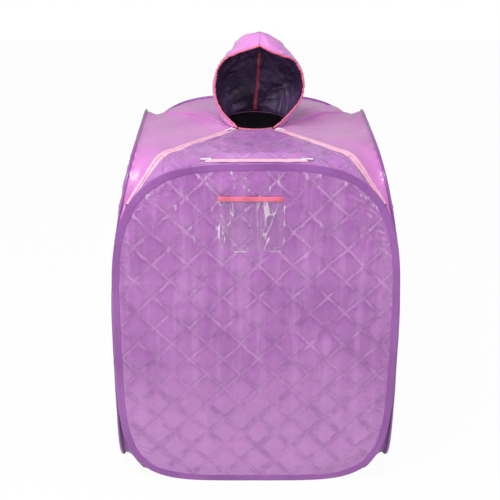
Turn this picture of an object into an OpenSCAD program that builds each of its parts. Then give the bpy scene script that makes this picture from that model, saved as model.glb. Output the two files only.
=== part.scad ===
// Portable steam sauna: a pop-up fabric tent for one seated person.
// Four spring-steel hoops in fabric sleeves carry quilted walls. The head comes out
// through a neck hole under a hood, and the front of the roof is a flap between two zips.
// X runs to the right, Y to the back and Z up. The origin is at the middle of the floor.

/* [Tent] */
// Width over the side hoops
tent_w = 800; // [640:5:1000]
// Depth over the front and back hoops
tent_d = 710; // [570:5:900]
// Height of the hoops
tent_h = 985; // [800:5:1200]
// Squareness of the top corners of the front and back hoops, 2 is an ellipse
front_square = 3.4; // [2.6:0.1:5]
// Squareness of the top corners of the side hoops
side_square = 4.8; // [3:0.1:6]
// Squareness of the bottom corners of all hoops
foot_square = 4.7; // [3.5:0.1:7]
// How far the side hoops lean in at the top
side_lean = 66; // [20:2:100]
// How far the front and back hoops stop short of the tent's sides
front_inset = 5; // [3:0.5:12]

/* [Hoops and walls] */
// Thickness of a hoop sleeve, across the wall
sleeve_t = 9; // [8.4:0.2:14]
// Width of a hoop sleeve, seen face on
sleeve_w = 21; // [18:1:34]
// Thickness of the sleeve's fabric
sleeve_wall = 1; // [0.8:0.1:1.4]
// Width of the spring-steel strip in a hoop
strip_w = 6; // [4:0.5:7.5]
// Thickness of the spring-steel strip
strip_t = 1.6; // [1:0.1:2.4]
// Length of the crimped tube that joins the ends of a strip
ferrule_l = 36; // [20:2:60]
// Wall of the crimped tube
ferrule_wall = 0.9; // [0.6:0.1:1.2]
// Thickness of a quilted wall
panel_t = 4; // [3:0.1:4.8]
// Thickness of the waterproof lining behind a wall
lining_t = 1; // [0.6:0.1:1.2]
// Thickness of the floor sheet
floor_t = 2; // [1:0.5:4]

/* [Roof and flap] */
// Thickness of the smooth rear cover
cover_t = 1.6; // [1:0.1:3]
// Thickness of the quilted flap and of the two corners beside it
flap_t = 3; // [2:0.2:4]
// Height of the neck hole above the hoops' tops
neck_rise = 16; // [8:1:40]
// Half of the neck hole's width
neck_a = 92; // [75:1:120]
// Half of the neck hole's length, front to back
neck_b = 100; // [80:1:130]
// Centre of the neck hole, behind the front face
neck_y = 350; // [300:5:420]
// Where a shoulder zip turns down: its distance from the middle
bend_x = 255; // [220:5:275]
// Where a shoulder zip turns down: its distance behind the front face
bend_y = 80; // [60:2:110]

/* [Zips] */
// Width of a closed zip, both tapes
zip_w = 24; // [18:1:30]
// Thickness of a zip tape
tape_t = 1.2; // [0.8:0.1:1.6]
// Gap between the two rows of coil, where the slider's web runs
coil_gap = 1.8; // [1.6:0.1:2.4]
// Width of one row of coil
coil_w = 2; // [1.4:0.1:3]
// Length of a zip's slider
slider_l = 12; // [10:0.5:16]
// Width of a zip's slider
slider_w = 9; // [8:0.5:11]
// Length of a pull tab
pull_l = 26; // [18:1:36]
// Length of the hand zip
hand_l = 268; // [200:2:300]
// Distance from the front sleeve to the hand zip's tape
hand_back = 6; // [4:1:12]

/* [Hood] */
// Height of the hood above the neck hole
hood_h = 257; // [220:1:300]
// Half of the hood's width where it is widest
hood_a = 131; // [115:1:150]
// Thickness of the hood's outer fabric
hood_t = 1.4; // [1:0.1:2]
// Thickness of the hood's lining
hood_lining_t = 1; // [0.6:0.1:1.4]
// Radius of the rolled binding round the face
binding_r = 4.5; // [4:0.1:6]
// Radius of the elastic cord in the binding
elastic_r = 1.6; // [1:0.1:2]
// Width of the seam tape inside the back of the hood
seam_tape_w = 16; // [8:1:24]

/* [Pocket] */
// Width of the clear pocket
pocket_w = 181; // [120:1:240]
// Height of the clear pocket
pocket_h = 160; // [110:1:200]
// How far the pocket stands off the wall
pocket_out = 7; // [6:0.5:14]
// Thickness of the clear film
film_t = 0.8; // [0.5:0.1:1]
// Middle of the pocket, to the right of the middle of the wall
pocket_x = -12; // [-60:1:60]
// Height of the pocket's bottom edge above the floor
pocket_z = 733; // [500:1:760]
// Height of the binding on the pocket's mouth
mouth_h = 13; // [8:1:20]

/* [Steam inlet] */
// Radius of the hole for the steam hose
inlet_r = 13; // [8:0.5:20]
// Wall of the inlet's barrel
inlet_wall = 3; // [2:0.5:5]
// Width of the inlet's flange and of its nut, beyond the barrel
inlet_rim = 8; // [5:0.5:14]
// Thickness of the inlet's flange
flange_t = 2.5; // [2:0.5:5]
// Thickness of the inlet's nut
nut_t = 5; // [3:0.5:8]
// Inlet to the right of the middle of the back wall
inlet_x = 215; // [-220:5:220]
// Height of the inlet above the floor
inlet_z = 130; // [100:5:300]

/* [Hidden] */

$fn = 64;
satin = [0.69, 0.43, 0.71];
satin_dark = [0.60, 0.36, 0.66];
satin_pink = [0.84, 0.56, 0.82];
lining_grey = [0.72, 0.72, 0.76];
aubergine = [0.22, 0.15, 0.25];
coral = [0.94, 0.47, 0.58];
zip_pink = [0.95, 0.72, 0.77];
steel = [0.62, 0.64, 0.66];
white = [0.95, 0.94, 0.95];
clear_film = [0.85, 0.78, 0.88, 0.4];

// Clearances: between pieces that lie together, along a sewn edge, and round a pin
gap = 0.3;
seam = 0.8;
pin_gap = 0.1;

front_y = -tent_d / 2;
back_y = tent_d / 2;
neck_z = tent_h + neck_rise;
neck_mid = front_y + neck_y;
heart = [0, 0, tent_h / 2];

// ---- Hoops ------------------------------------------------------------------------
// A hoop is a superellipse with a flat at the middle of each side.

hoop_steps = 48;
half_step = 180 / hoop_steps;
front_a = tent_w / 2 - front_inset;
side_a = tent_d / 2 - sleeve_t - gap;

function signed_pow(v, p) = sign(v) * pow(abs(v), p);

// The point of a hoop of half width a at the angle t, moved in by inset
function hoop_point(t, a, top_square, inset) =
    let (n = sin(t) > 0 ? top_square : foot_square, fit = pow(cos(half_step), -2 / n))
    [(a - inset) * fit * signed_pow(cos(t), 2 / n),
     tent_h / 2 + (tent_h / 2 - inset) * fit * signed_pow(sin(t), 2 / n)];

// The angle of the hoop's corner number i, anticlockwise from the +X side
function hoop_angle(i) = (2 * i + 1) * half_step;

module hoop_face(a, top_square, inset) {
    polygon([for (i = [0 : hoop_steps - 1]) hoop_point(hoop_angle(i), a, top_square, inset)]);
}

module hoop_band(a, top_square, outer, inner) {
    difference() {
        hoop_face(a, top_square, outer);
        hoop_face(a, top_square, inner);
    }
}

// Stands a flat shape up in the XZ plane, with its front at y
module upright(y, t) {
    translate([0, y + t, 0]) rotate([90, 0, 0]) linear_extrude(t) children();
}

// How far a side hoop leans in at the height z
function lean_at(z) = side_lean * pow(max(0, z / tent_h * 2 - 1), 2);

lean_steps = 8;
lean_z = [0, for (i = [0 : lean_steps]) tent_h / 2 * (1 + i / lean_steps)];

// A curved wall on the right that follows the lean, between two depths from its outside
module leaning_wall(outer, inner) {
    outside = [for (z = lean_z) [tent_w / 2 - outer - lean_at(z), z]];
    inside = [for (z = lean_z) [tent_w / 2 - inner - lean_at(z), z]];
    count = len(lean_z);
    upright(front_y, tent_d) polygon([
        for (i = [0 : count - 1]) outside[i],
        for (i = [0 : count - 1]) inside[count - 1 - i]]);
}

// Cuts a leaning wall to a shape drawn in the YZ plane
module side_piece(outer, inner) {
    intersection() {
        leaning_wall(outer, inner);
        rotate([90, 0, 90]) linear_extrude(tent_w) children();
    }
}

module on_left() {
    mirror([1, 0, 0]) children();
}

// Depths across a wall, from its outside
panel_in = sleeve_wall + 0.5;
lining_in = panel_in + panel_t + gap;
strip_in = (sleeve_t - strip_t) / 2;
// Distances from the rim of a hoop
strip_rim = sleeve_wall + gap + ferrule_wall + gap;
panel_rim = strip_rim + strip_w + ferrule_wall + 2 * gap;

module front_sleeve_at(y) {
    difference() {
        upright(y, sleeve_t) hoop_band(front_a, front_square, 0, sleeve_w);
        upright(y + sleeve_wall, sleeve_t - 2 * sleeve_wall)
            hoop_band(front_a, front_square, sleeve_wall, sleeve_w + 1);
    }
}

module side_sleeve() {
    difference() {
        side_piece(0, sleeve_t) hoop_band(side_a, side_square, 0, sleeve_w);
        side_piece(sleeve_wall, sleeve_t - sleeve_wall)
            hoop_band(side_a, side_square, sleeve_wall, sleeve_w + 1);
    }
}

module front_hoop_sleeve() {
    color(satin_dark) front_sleeve_at(front_y);
}

module back_hoop_sleeve() {
    color(satin_dark) front_sleeve_at(back_y - sleeve_t);
}

module right_hoop_sleeve() {
    color(satin_dark) side_sleeve();
}

module left_hoop_sleeve() {
    color(satin_dark) on_left() side_sleeve();
}

module front_strip_at(y) {
    upright(y + strip_in, strip_t)
        hoop_band(front_a, front_square, strip_rim, strip_rim + strip_w);
}

module side_strip() {
    side_piece(strip_in, strip_in + strip_t)
        hoop_band(side_a, side_square, strip_rim, strip_rim + strip_w);
}

module front_hoop_strip() {
    color(steel) front_strip_at(front_y);
}

module back_hoop_strip() {
    color(steel) front_strip_at(back_y - sleeve_t);
}

module right_hoop_strip() {
    color(steel) side_strip();
}

module left_hoop_strip() {
    color(steel) on_left() side_strip();
}

// A crimped tube round the strip, at the bottom of a hoop that lies in the XZ plane
module ferrule() {
    hole_w = strip_w + 2 * gap;
    hole_t = strip_t + 2 * gap;
    translate([0, strip_in + strip_t / 2, strip_rim + strip_w / 2]) difference() {
        cube([ferrule_l, hole_t + 2 * ferrule_wall, hole_w + 2 * ferrule_wall], center = true);
        cube([ferrule_l + 1, hole_t, hole_w], center = true);
    }
}

module hoop_ferrules() {
    color(steel) {
        translate([0, front_y, 0]) ferrule();
        translate([0, back_y - sleeve_t, 0]) ferrule();
        translate([tent_w / 2, 0, 0]) rotate([0, 0, 90]) ferrule();
        translate([-tent_w / 2, 0, 0]) rotate([0, 0, -90]) ferrule();
    }
}

// ---- Walls and floor --------------------------------------------------------------

module front_wall_at(y, t) {
    upright(y, t) hoop_face(front_a, front_square, panel_rim);
}

module side_wall(depth, t) {
    side_piece(depth, depth + t) hoop_face(side_a, side_square, panel_rim);
}

module inlet_hole() {
    translate([inlet_x, back_y + 1, inlet_z]) rotate([90, 0, 0])
        cylinder(h = 2 * sleeve_t, r = inlet_r + inlet_wall + gap);
}

module front_panel() {
    color(satin) front_wall_at(front_y + panel_in, panel_t);
}

module back_panel() {
    color(satin) difference() {
        front_wall_at(back_y - panel_in - panel_t, panel_t);
        inlet_hole();
    }
}

module right_panel() {
    color(satin) side_wall(panel_in, panel_t);
}

module left_panel() {
    color(satin) on_left() side_wall(panel_in, panel_t);
}

module front_lining() {
    color(lining_grey) front_wall_at(front_y + lining_in, lining_t);
}

module back_lining() {
    color(lining_grey) difference() {
        front_wall_at(back_y - lining_in - lining_t, lining_t);
        inlet_hole();
    }
}

module right_lining() {
    color(lining_grey) side_wall(lining_in, lining_t);
}

module left_lining() {
    color(lining_grey) on_left() side_wall(lining_in, lining_t);
}

// Corner radius of the floor sheet, where the hoops lift off the ground
floor_corner = 230;

module floor_panel() {
    reach_x = tent_w / 2 - sleeve_t - gap;
    reach_y = tent_d / 2 - sleeve_t - gap;
    color(lining_grey) linear_extrude(floor_t) union() {
        square([2 * reach_x, 2 * (reach_y - floor_corner)], center = true);
        square([2 * (reach_x - floor_corner), 2 * reach_y], center = true);
        for (sx = [-1, 1], sy = [-1, 1])
            translate([sx * (reach_x - floor_corner), sy * (reach_y - floor_corner)])
                circle(r = floor_corner);
    }
}

// ---- Sheets and tubes -------------------------------------------------------------

function unit(v) = v / norm(v);
function mix(a, b, t) = a * (1 - t) + b * t;
function flip_x(points) = [for (p = points) [-p.x, p.y, p.z]];
function reversed(list) = [for (i = [len(list) - 1 : -1 : 0]) list[i]];

// Rows of points from one edge of a sheet to the other
function loft(edge_a, edge_b, rows) =
    [for (r = [0 : rows]) [for (i = [0 : len(edge_a) - 1]) mix(edge_a[i], edge_b[i], r / rows)]];

// The same rows, moved by t towards the middle of the tent
function towards_heart(rows, t) = [for (row = rows) [for (p = row) p + unit(heart - p) * t]];

// A closed solid between two grids of points. Seen from outside on the top grid's side, its
// rows run to the right of its columns.
module sheet_solid(top, bottom) {
    rows = len(top);
    cols = len(top[0]);
    count = rows * cols;
    function at(r, c) = r * cols + c;
    points = concat([for (row = top) each row], [for (row = bottom) each row]);
    polyhedron(points, concat(
        [for (r = [0 : rows - 2], c = [0 : cols - 2]) each [
            [at(r, c), at(r + 1, c), at(r + 1, c + 1)], [at(r, c), at(r + 1, c + 1), at(r, c + 1)],
            [count + at(r, c), count + at(r + 1, c + 1), count + at(r + 1, c)],
            [count + at(r, c), count + at(r, c + 1), count + at(r + 1, c + 1)]]],
        [for (c = [0 : cols - 2]) each [
            [at(0, c), at(0, c + 1), count + at(0, c + 1)],
            [at(0, c), count + at(0, c + 1), count + at(0, c)],
            [at(rows - 1, c + 1), at(rows - 1, c), count + at(rows - 1, c)],
            [at(rows - 1, c + 1), count + at(rows - 1, c), count + at(rows - 1, c + 1)]]],
        [for (r = [0 : rows - 2]) each [
            [at(r + 1, 0), at(r, 0), count + at(r, 0)],
            [at(r + 1, 0), count + at(r, 0), count + at(r + 1, 0)],
            [at(r, cols - 1), at(r + 1, cols - 1), count + at(r + 1, cols - 1)],
            [at(r, cols - 1), count + at(r + 1, cols - 1), count + at(r, cols - 1)]]]));
}

// ---- Roof -------------------------------------------------------------------------
// Each edge is worked out for the right side, and the left is its mirror image.

// Where the front and side hoops part, as corner numbers of the hoops
front_part = 4;
side_part = 20;
// Where the flap's fold ends on the front hoop
fold_end = 8;
// How far below the rim of a hoop the roof is sewn
rim_drop = 2;

function on_front(i) =
    let (p = hoop_point(hoop_angle(i), front_a, front_square, rim_drop))
    [p.x, front_y + sleeve_t + seam, p.y];
function on_back(i) =
    let (p = hoop_point(hoop_angle(i), front_a, front_square, rim_drop))
    [p.x, back_y - sleeve_t - seam, p.y];
function on_side(i) =
    let (p = hoop_point(hoop_angle(i), side_a, side_square, rim_drop))
    [tent_w / 2 - sleeve_t - seam - lean_at(p.y), p.x, p.y];

// The neck hole, at an angle from the back, with the hole grown by r
function on_neck(angle, r) =
    [(neck_a + r) * sin(angle), neck_mid + (neck_b + r) * cos(angle), neck_z];

zip_angle = 145;
zip_top = on_neck(zip_angle, 6);
zip_bend = [bend_x, front_y + bend_y, tent_h - 1];
zip_foot = mix(zip_bend, (on_front(front_part) + on_side(side_part)) / 2, 0.86);
upper_run = unit(zip_bend - zip_top);
lower_run = unit(zip_foot - zip_bend);
// Across the zip, towards the flap
upper_across = unit([upper_run.y, -upper_run.x, 0]);
lower_cross = on_front(6) - on_side(17);
lower_across = unit(lower_cross - lower_run * (lower_cross * lower_run));
zip_reach = zip_w / 2 + seam;
leg_reach = zip_reach + 3 * gap;

function between(a, b, count, last) =
    [for (i = [0 : count - 1 + (last ? 1 : 0)]) mix(a, b, i / count)];

// Where the cover's edge leaves the zip for the neck hole, as an angle from the back
neck_side = 135;
leg_cells = 6;
run_cells = 7;
neck_cells = 12;
cover_rows = 6;
// A drop from the neck to the hoop that gives the cover its full turn
corner_drop = 100;

// The cover's inner edge on the right, from the foot of the zip to the back of the neck
cover_inner = concat(
    between(zip_foot - lower_across * leg_reach, zip_bend - lower_across * leg_reach, leg_cells, false),
    between(zip_bend - upper_across * zip_reach, zip_top - upper_across * zip_reach, run_cells, false),
    [for (i = [0 : neck_cells]) on_neck(neck_side * (1 - i / neck_cells), seam)]);
// The cover's outer edge on the right, from the front corner to the middle of the back
cover_outer = concat(
    [for (i = [side_part : -1 : 3]) on_side(i)],
    [for (i = [front_part : 10]) on_back(i)],
    [mix(on_back(11), on_back(12), 0.5)]);

// The cover runs out from the neck nearly level, and turns down where two hoops part
function cover_at(a, b, t) =
    let (p = mix(a, b, t), turn = min(1, max(0, a.z - b.z) / corner_drop))
    [p.x, p.y, mix(a.z, b.z, mix(t, pow(t, 4), turn))];

module cover_half() {
    inner = reversed(cover_inner);
    outer = reversed(cover_outer);
    rows = [for (r = [0 : cover_rows])
        [for (i = [0 : len(inner) - 1]) cover_at(inner[i], outer[i], r / cover_rows)]];
    sheet_solid(rows, towards_heart(rows, cover_t));
}

module rear_top_cover() {
    color(satin_pink) {
        cover_half();
        on_left() cover_half();
    }
}

neck_front_cells = 6;
flap_rows = 5;

module flap_body() {
    right_edge = between(zip_bend + upper_across * zip_reach, zip_top + upper_across * zip_reach, 3, false);
    neck_edge = [for (i = [0 : neck_front_cells])
        on_neck(mix(zip_angle + 4, 360 - zip_angle - 4, i / neck_front_cells), seam)];
    front_right = [for (i = [fold_end : 10]) on_front(i)];
    front_mid = between(on_front(11), on_front(12), neck_front_cells, true);
    near = concat(front_right, front_mid, reversed(flip_x(front_right)));
    far = concat(right_edge, neck_edge, reversed(flip_x(right_edge)));
    rows = loft(near, far, flap_rows);
    sheet_solid(towards_heart(rows, flap_t), rows);
}

hand_y = front_y + sleeve_t + seam + hand_back + zip_w / 2;
// The hand zip lies level, just above the slope of the flap
hand_z = on_front(11).z + (neck_z - on_front(11).z) * (hand_y - front_y) / (neck_mid - neck_b - front_y);

module front_top_flap() {
    color(satin) difference() {
        flap_body();
        translate([-hand_l / 2 - gap, hand_y - zip_reach, hand_z - 20])
            cube([hand_l + 2 * gap, 2 * zip_reach, 40]);
    }
}

module flap_corner() {
    hoop_edge = [for (i = [fold_end : -1 : front_part]) on_front(i)];
    zip_edge = between(zip_bend + lower_across * zip_reach, zip_foot + lower_across * zip_reach, 4, true);
    rows = loft(hoop_edge, zip_edge, 3);
    sheet_solid(rows, towards_heart(rows, flap_t));
}

module right_flap_corner() {
    color(satin) flap_corner();
}

module left_flap_corner() {
    color(satin) on_left() flap_corner();
}

// A tube along a path, with a hole in it when hole is above 0
module tube_along(path, r, hole, sides) {
    n = len(path);
    function direction(i) = unit(path[min(i + 1, n - 1)] - path[max(i - 1, 0)]);
    function ring(i, radius) =
        let (d = direction(i), u = unit(cross(d, [0, 1, 0.02])), v = cross(d, u))
        [for (k = [0 : sides - 1])
            path[i] + radius * (u * cos(k * 360 / sides) + v * sin(k * 360 / sides))];
    outer = [for (i = [0 : n - 1]) each ring(i, r)];
    inner = hole > 0 ? [for (i = [0 : n - 1]) each ring(i, hole)] : [];
    shift = n * sides;
    last = (n - 1) * sides;
    function next(k) = (k + 1) % sides;
    skin = [for (i = [0 : n - 2], k = [0 : sides - 1]) each [
        [i * sides + k, (i + 1) * sides + next(k), i * sides + next(k)],
        [i * sides + k, (i + 1) * sides + k, (i + 1) * sides + next(k)]]];
    bore = hole > 0 ? [for (f = skin) [f[2] + shift, f[1] + shift, f[0] + shift]] : [];
    ends = hole > 0 ?
        [for (k = [0 : sides - 1]) each [
            [k, next(k) + shift, k + shift], [k, next(k), next(k) + shift],
            [last + k, last + next(k) + shift, last + next(k)],
            [last + k, last + k + shift, last + next(k) + shift]]] :
        [[for (k = [0 : sides - 1]) k], [for (k = [sides - 1 : -1 : 0]) last + k]];
    polyhedron(concat(outer, inner), concat(skin, bore, ends));
}

neck_binding_r = 3;

module neck_binding() {
    path = [for (i = [0 : 10]) on_neck(mix(zip_angle + 6, 354 - zip_angle, i / 10), -neck_binding_r)];
    color(coral) tube_along(path, neck_binding_r, 0, 8);
}

// ---- Zips -------------------------------------------------------------------------

// A flat tape with its coil, along +X from the origin, on the +Y side of the zip's line.
// Its top is at z = 0, and the coil stands a little above and below the tape.
module zip_half(length) {
    translate([0, coil_gap / 2, -tape_t]) cube([length, (zip_w - coil_gap) / 2, tape_t]);
    translate([0, coil_gap / 2, -tape_t - 0.3]) cube([length, coil_w, tape_t + 0.6]);
}

// Puts something that lies along +X at the point p, with its length along d and its +Y
// side towards a
module laid(p, d, a) {
    n = cross(d, a);
    multmatrix([[d.x, a.x, n.x, p.x], [d.y, a.y, n.y, p.y], [d.z, a.z, n.z, p.z], [0, 0, 0, 1]])
        children();
}

upper_length = norm(zip_bend - zip_top);
lower_start = 5;
lower_length = norm(zip_foot - zip_bend) - lower_start;
lower_origin = zip_bend + lower_run * lower_start;

module zip_flap_tape() {
    laid(zip_top, upper_run, upper_across) zip_half(upper_length);
}

module zip_rear_tape() {
    laid(zip_top, upper_run, -upper_across) translate([0, 0, tape_t]) zip_half(upper_length);
    laid(lower_origin, lower_run, -lower_across) translate([0, 0, tape_t]) zip_half(lower_length);
}

module zip_corner_tape() {
    laid(lower_origin, lower_run, lower_across) zip_half(lower_length);
}

module right_zip_flap_tape() {
    color(zip_pink) zip_flap_tape();
}

module left_zip_flap_tape() {
    color(zip_pink) on_left() zip_flap_tape();
}

module right_zip_rear_tape() {
    color(zip_pink) zip_rear_tape();
}

module left_zip_rear_tape() {
    color(zip_pink) on_left() zip_rear_tape();
}

module right_zip_corner_tape() {
    color(zip_pink) zip_corner_tape();
}

module left_zip_corner_tape() {
    color(zip_pink) on_left() zip_corner_tape();
}

plate_t = 1.2;
coil_half = tape_t / 2 + 0.3;
ear_t = 1.3;
pin_r = 0.8;
pin_z = coil_half + gap + plate_t + 1.7;
pull_w = 7;
pull_t = 1.4;

// A slider that runs along X: two plates, the web between the coils, two ears and a pin.
// The middle of the tape's thickness is at z = 0.
module slider() {
    for (s = [-1, 1])
        translate([0, 0, s * (coil_half + gap + plate_t / 2)])
            cube([slider_l, slider_w, plate_t], center = true);
    cube([slider_l * 0.6, coil_gap - 2 * gap, 2 * (coil_half + gap) + 0.2], center = true);
    ear_y = pull_w / 2 - 1.6;
    for (s = [-1, 1])
        translate([0, s * (ear_y + ear_t / 2 + gap), coil_half + gap + plate_t])
            translate([-2, -ear_t / 2, -0.1]) cube([4, ear_t, pin_z + 1.5 - coil_half - gap - plate_t + 0.1]);
    translate([0, 0, pin_z]) rotate([90, 0, 0])
        cylinder(h = 2 * (ear_y + gap) + ear_t, r = pin_r, center = true);
}

// A pull tab that hangs on the slider's pin and lies along +X
module pull_tab() {
    eye_w = pull_w - 3.2;
    hole_r = pin_r + pin_gap;
    eye_r = hole_r + 0.55;
    translate([0, 0, pin_z]) {
        difference() {
            union() {
                rotate([90, 0, 0]) cylinder(h = eye_w, r = eye_r, center = true);
                translate([0, -eye_w / 2, -pull_t / 2]) cube([slider_l / 2 + 1, eye_w, pull_t]);
            }
            rotate([90, 0, 0]) cylinder(h = eye_w + 1, r = hole_r, center = true);
        }
        difference() {
            translate([4, -pull_w / 2, -pull_t / 2]) cube([pull_l - 4, pull_w, pull_t]);
            translate([pull_l - 6, -pull_w / 2 + 1.6, -pull_t]) cube([4, pull_w - 3.2, 2 * pull_t]);
        }
    }
}

// Distance from the end of a zip to the middle of its parked slider
park = 12;

module shoulder_mount() {
    p = zip_top + upper_run * park;
    n = cross(upper_across, upper_run);
    laid(p + n * (tape_t / 2), upper_run, -upper_across) children();
}

module right_zip_slider() {
    color(white) shoulder_mount() slider();
}

module left_zip_slider() {
    color(white) on_left() shoulder_mount() slider();
}

module right_zip_pull() {
    color(white) shoulder_mount() pull_tab();
}

module left_zip_pull() {
    color(white) on_left() shoulder_mount() pull_tab();
}

module hand_zip_front_tape() {
    color(zip_pink) translate([-hand_l / 2, hand_y, hand_z]) mirror([0, 1, 0]) zip_half(hand_l);
}

module hand_zip_rear_tape() {
    color(zip_pink) translate([-hand_l / 2, hand_y, hand_z]) zip_half(hand_l);
}

module hand_mount() {
    translate([hand_l / 2 - park, hand_y, hand_z - tape_t / 2]) children();
}

module hand_zip_right_slider() {
    color(white) hand_mount() slider();
}

module hand_zip_left_slider() {
    color(white) on_left() hand_mount() slider();
}

module hand_zip_right_pull() {
    color(white) hand_mount() pull_tab();
}

module hand_zip_left_pull() {
    color(white) on_left() hand_mount() pull_tab();
}

// ---- Hood -------------------------------------------------------------------------
// Level arcs round the back of the head, open at the face, that close to a point on top.

hood_rows = 15;
hood_cols = 18;
widest = 0.4;
// The shares of the height where the face edge turns forward, and where its sides meet
brow_start = 0.66;
brow = 0.9;
hood_base_z = neck_z + gap;

// Half width of the hood at the share s of its height
function hood_half(s) = s < widest ?
    mix(neck_a, hood_a, sin(90 * s / widest)) :
    hood_a * pow(1 - pow((s - widest) / (1 - widest), 2.1), 0.62);
// Depth of the hood behind its middle
function hood_depth(s) = neck_b * pow(1 - pow(s, 3.2), 0.6);
// The middle moves forward. The face edge moves back from the chin, and forward to the brow
function hood_mid(s) = neck_mid - 12 * s;
function hood_open(s) = s < widest ? mix(zip_angle, 98, sin(90 * s / widest)) :
    mix(98, 179.6, pow(min(1, max(0, (s - brow_start) / (brow - brow_start))), 1.6));

function hood_point(s, share, inset) =
    let (angle = hood_open(s) * share)
    [max(hood_half(s) - inset, 1) * sin(angle),
     hood_mid(s) + max(hood_depth(s) - inset, 1) * cos(angle),
     hood_base_z + (hood_h - inset) * s];

function hood_grid(inset) =
    [for (r = [0 : hood_rows]) [for (c = [0 : hood_cols])
        hood_point(r / (hood_rows + 1), 1 - 2 * c / hood_cols, inset)]];

// A hood of one cloth, between two insets from the outside
module hood_cloth(outer, inner) {
    rows = hood_rows + 1;
    cols = hood_cols + 1;
    count = rows * cols;
    function at(r, c) = r * cols + c;
    out_tip = 2 * count;
    in_tip = out_tip + 1;
    top = rows - 1;
    points = concat([for (row = hood_grid(outer)) each row], [for (row = hood_grid(inner)) each row],
        [[0, hood_mid(1), hood_base_z + hood_h - outer], [0, hood_mid(1), hood_base_z + hood_h - inner]]);
    polyhedron(points, concat(
        [for (r = [0 : rows - 2], c = [0 : cols - 2]) each [
            [at(r, c), at(r + 1, c), at(r + 1, c + 1)], [at(r, c), at(r + 1, c + 1), at(r, c + 1)],
            [count + at(r, c), count + at(r + 1, c + 1), count + at(r + 1, c)],
            [count + at(r, c), count + at(r, c + 1), count + at(r + 1, c + 1)]]],
        [for (c = [0 : cols - 2]) each [
            [at(0, c), at(0, c + 1), count + at(0, c + 1)],
            [at(0, c), count + at(0, c + 1), count + at(0, c)],
            [at(top, c), out_tip, at(top, c + 1)],
            [count + at(top, c), count + at(top, c + 1), in_tip]]],
        [for (r = [0 : rows - 2]) each [
            [at(r + 1, 0), at(r, 0), count + at(r, 0)],
            [at(r + 1, 0), count + at(r, 0), count + at(r + 1, 0)],
            [at(r, cols - 1), at(r + 1, cols - 1), count + at(r + 1, cols - 1)],
            [at(r, cols - 1), count + at(r + 1, cols - 1), count + at(r, cols - 1)]]],
        [[out_tip, at(top, 0), count + at(top, 0)], [out_tip, count + at(top, 0), in_tip],
         [at(top, cols - 1), out_tip, in_tip], [at(top, cols - 1), in_tip, count + at(top, cols - 1)]]));
}

module hood_shell() {
    color(satin_pink) hood_cloth(0, hood_t);
}

module hood_lining() {
    color(aubergine) hood_cloth(hood_t + gap, hood_t + gap + hood_lining_t);
}

module hood_seam_tape() {
    inset = hood_t + hood_lining_t + 2 * gap + 0.3;
    top_s = 0.72;
    function row(k, t) = let (s = top_s * k / 7) [
        for (x = [seam_tape_w / 2, 0, -seam_tape_w / 2])
            [x * (1 - 0.4 * k / 7),
             hood_mid(s) + hood_depth(s) - inset - t - x * x / neck_a,
             hood_base_z + (hood_h - inset) * s]];
    color(coral) sheet_solid([for (k = [0 : 7]) row(k, 0)], [for (k = [0 : 7]) row(k, 0.8)]);
}

// The rim of the face runs beside the edge of the two cloths, at the same levels as their rows
rim_inset = (hood_t + gap + hood_lining_t) / 2;
rim_gap = binding_r + seam;
function rim_at(s, side) = hood_point(s, side, rim_inset);
function face_point(s, side) =
    let (edge = rim_at(s, side),
         along = unit(rim_at(min(s + 0.04, 0.97), side) - rim_at(max(s - 0.04, 0), side)),
         ahead = unit(edge - rim_at(s, side * 0.96)))
    edge + rim_gap * unit(ahead - along * (ahead * along));
function face_level(k) = k == 0 ? 0.03 : k / (hood_rows + 1);
face_rows = floor(brow * (hood_rows + 1));
face_tip = [0, rim_at(brow, 1).y, rim_at(brow, 1).z];
face_path = concat(
    [for (k = [0 : face_rows]) face_point(face_level(k), 1)],
    [face_tip],
    [for (k = [face_rows : -1 : 0]) face_point(face_level(k), -1)]);

module hood_face_binding() {
    color(coral) tube_along(face_path, binding_r, elastic_r + 0.6, 8);
}

module hood_face_elastic() {
    color(white) tube_along(face_path, elastic_r, 0, 8);
}

// ---- Pocket -----------------------------------------------------------------------

pocket_back = front_y + panel_in - gap;

// A clear tray that is open at the top, with its open back against the wall
module pocket_window() {
    color(clear_film) translate([pocket_x - pocket_w / 2, pocket_back - pocket_out, pocket_z]) difference() {
        cube([pocket_w, pocket_out, pocket_h]);
        translate([film_t, film_t, film_t]) cube([pocket_w - 2 * film_t, pocket_out, pocket_h]);
    }
}

module pocket_mouth_binding() {
    lip = 1;
    depth = film_t + 2 * gap + 2 * lip;
    wide = pocket_w - 2 * film_t - 2 * gap;
    top = pocket_z + pocket_h + lip + gap;
    color(coral) translate([pocket_x - wide / 2, pocket_back - pocket_out - lip - gap, top - mouth_h])
        difference() {
            cube([wide, depth, mouth_h]);
            translate([-1, lip, -1]) cube([wide + 2, film_t + 2 * gap, mouth_h + 1 - lip]);
        }
}

// ---- Steam inlet ------------------------------------------------------------------

flange_y = back_y - panel_in + gap;
nut_y = back_y - lining_in - lining_t - gap;
barrel_end = nut_y - nut_t - 2;

module along_back(y) {
    translate([inlet_x, y, inlet_z]) rotate([90, 0, 0]) children();
}

module steam_inlet_flange() {
    barrel_r = inlet_r + inlet_wall;
    color(white) difference() {
        union() {
            along_back(flange_y + flange_t) cylinder(h = flange_t, r = barrel_r + inlet_rim);
            along_back(flange_y + 0.1) cylinder(h = flange_y + 0.1 - barrel_end, r = barrel_r);
        }
        along_back(flange_y + flange_t + 1) cylinder(h = flange_y + flange_t + 2 - barrel_end, r = inlet_r);
    }
}

module steam_inlet_nut() {
    barrel_r = inlet_r + inlet_wall;
    color(white) difference() {
        along_back(nut_y) cylinder(h = nut_t, r = barrel_r + inlet_rim, $fn = 6);
        along_back(nut_y + 1) cylinder(h = nut_t + 2, r = barrel_r + gap);
    }
}

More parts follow.
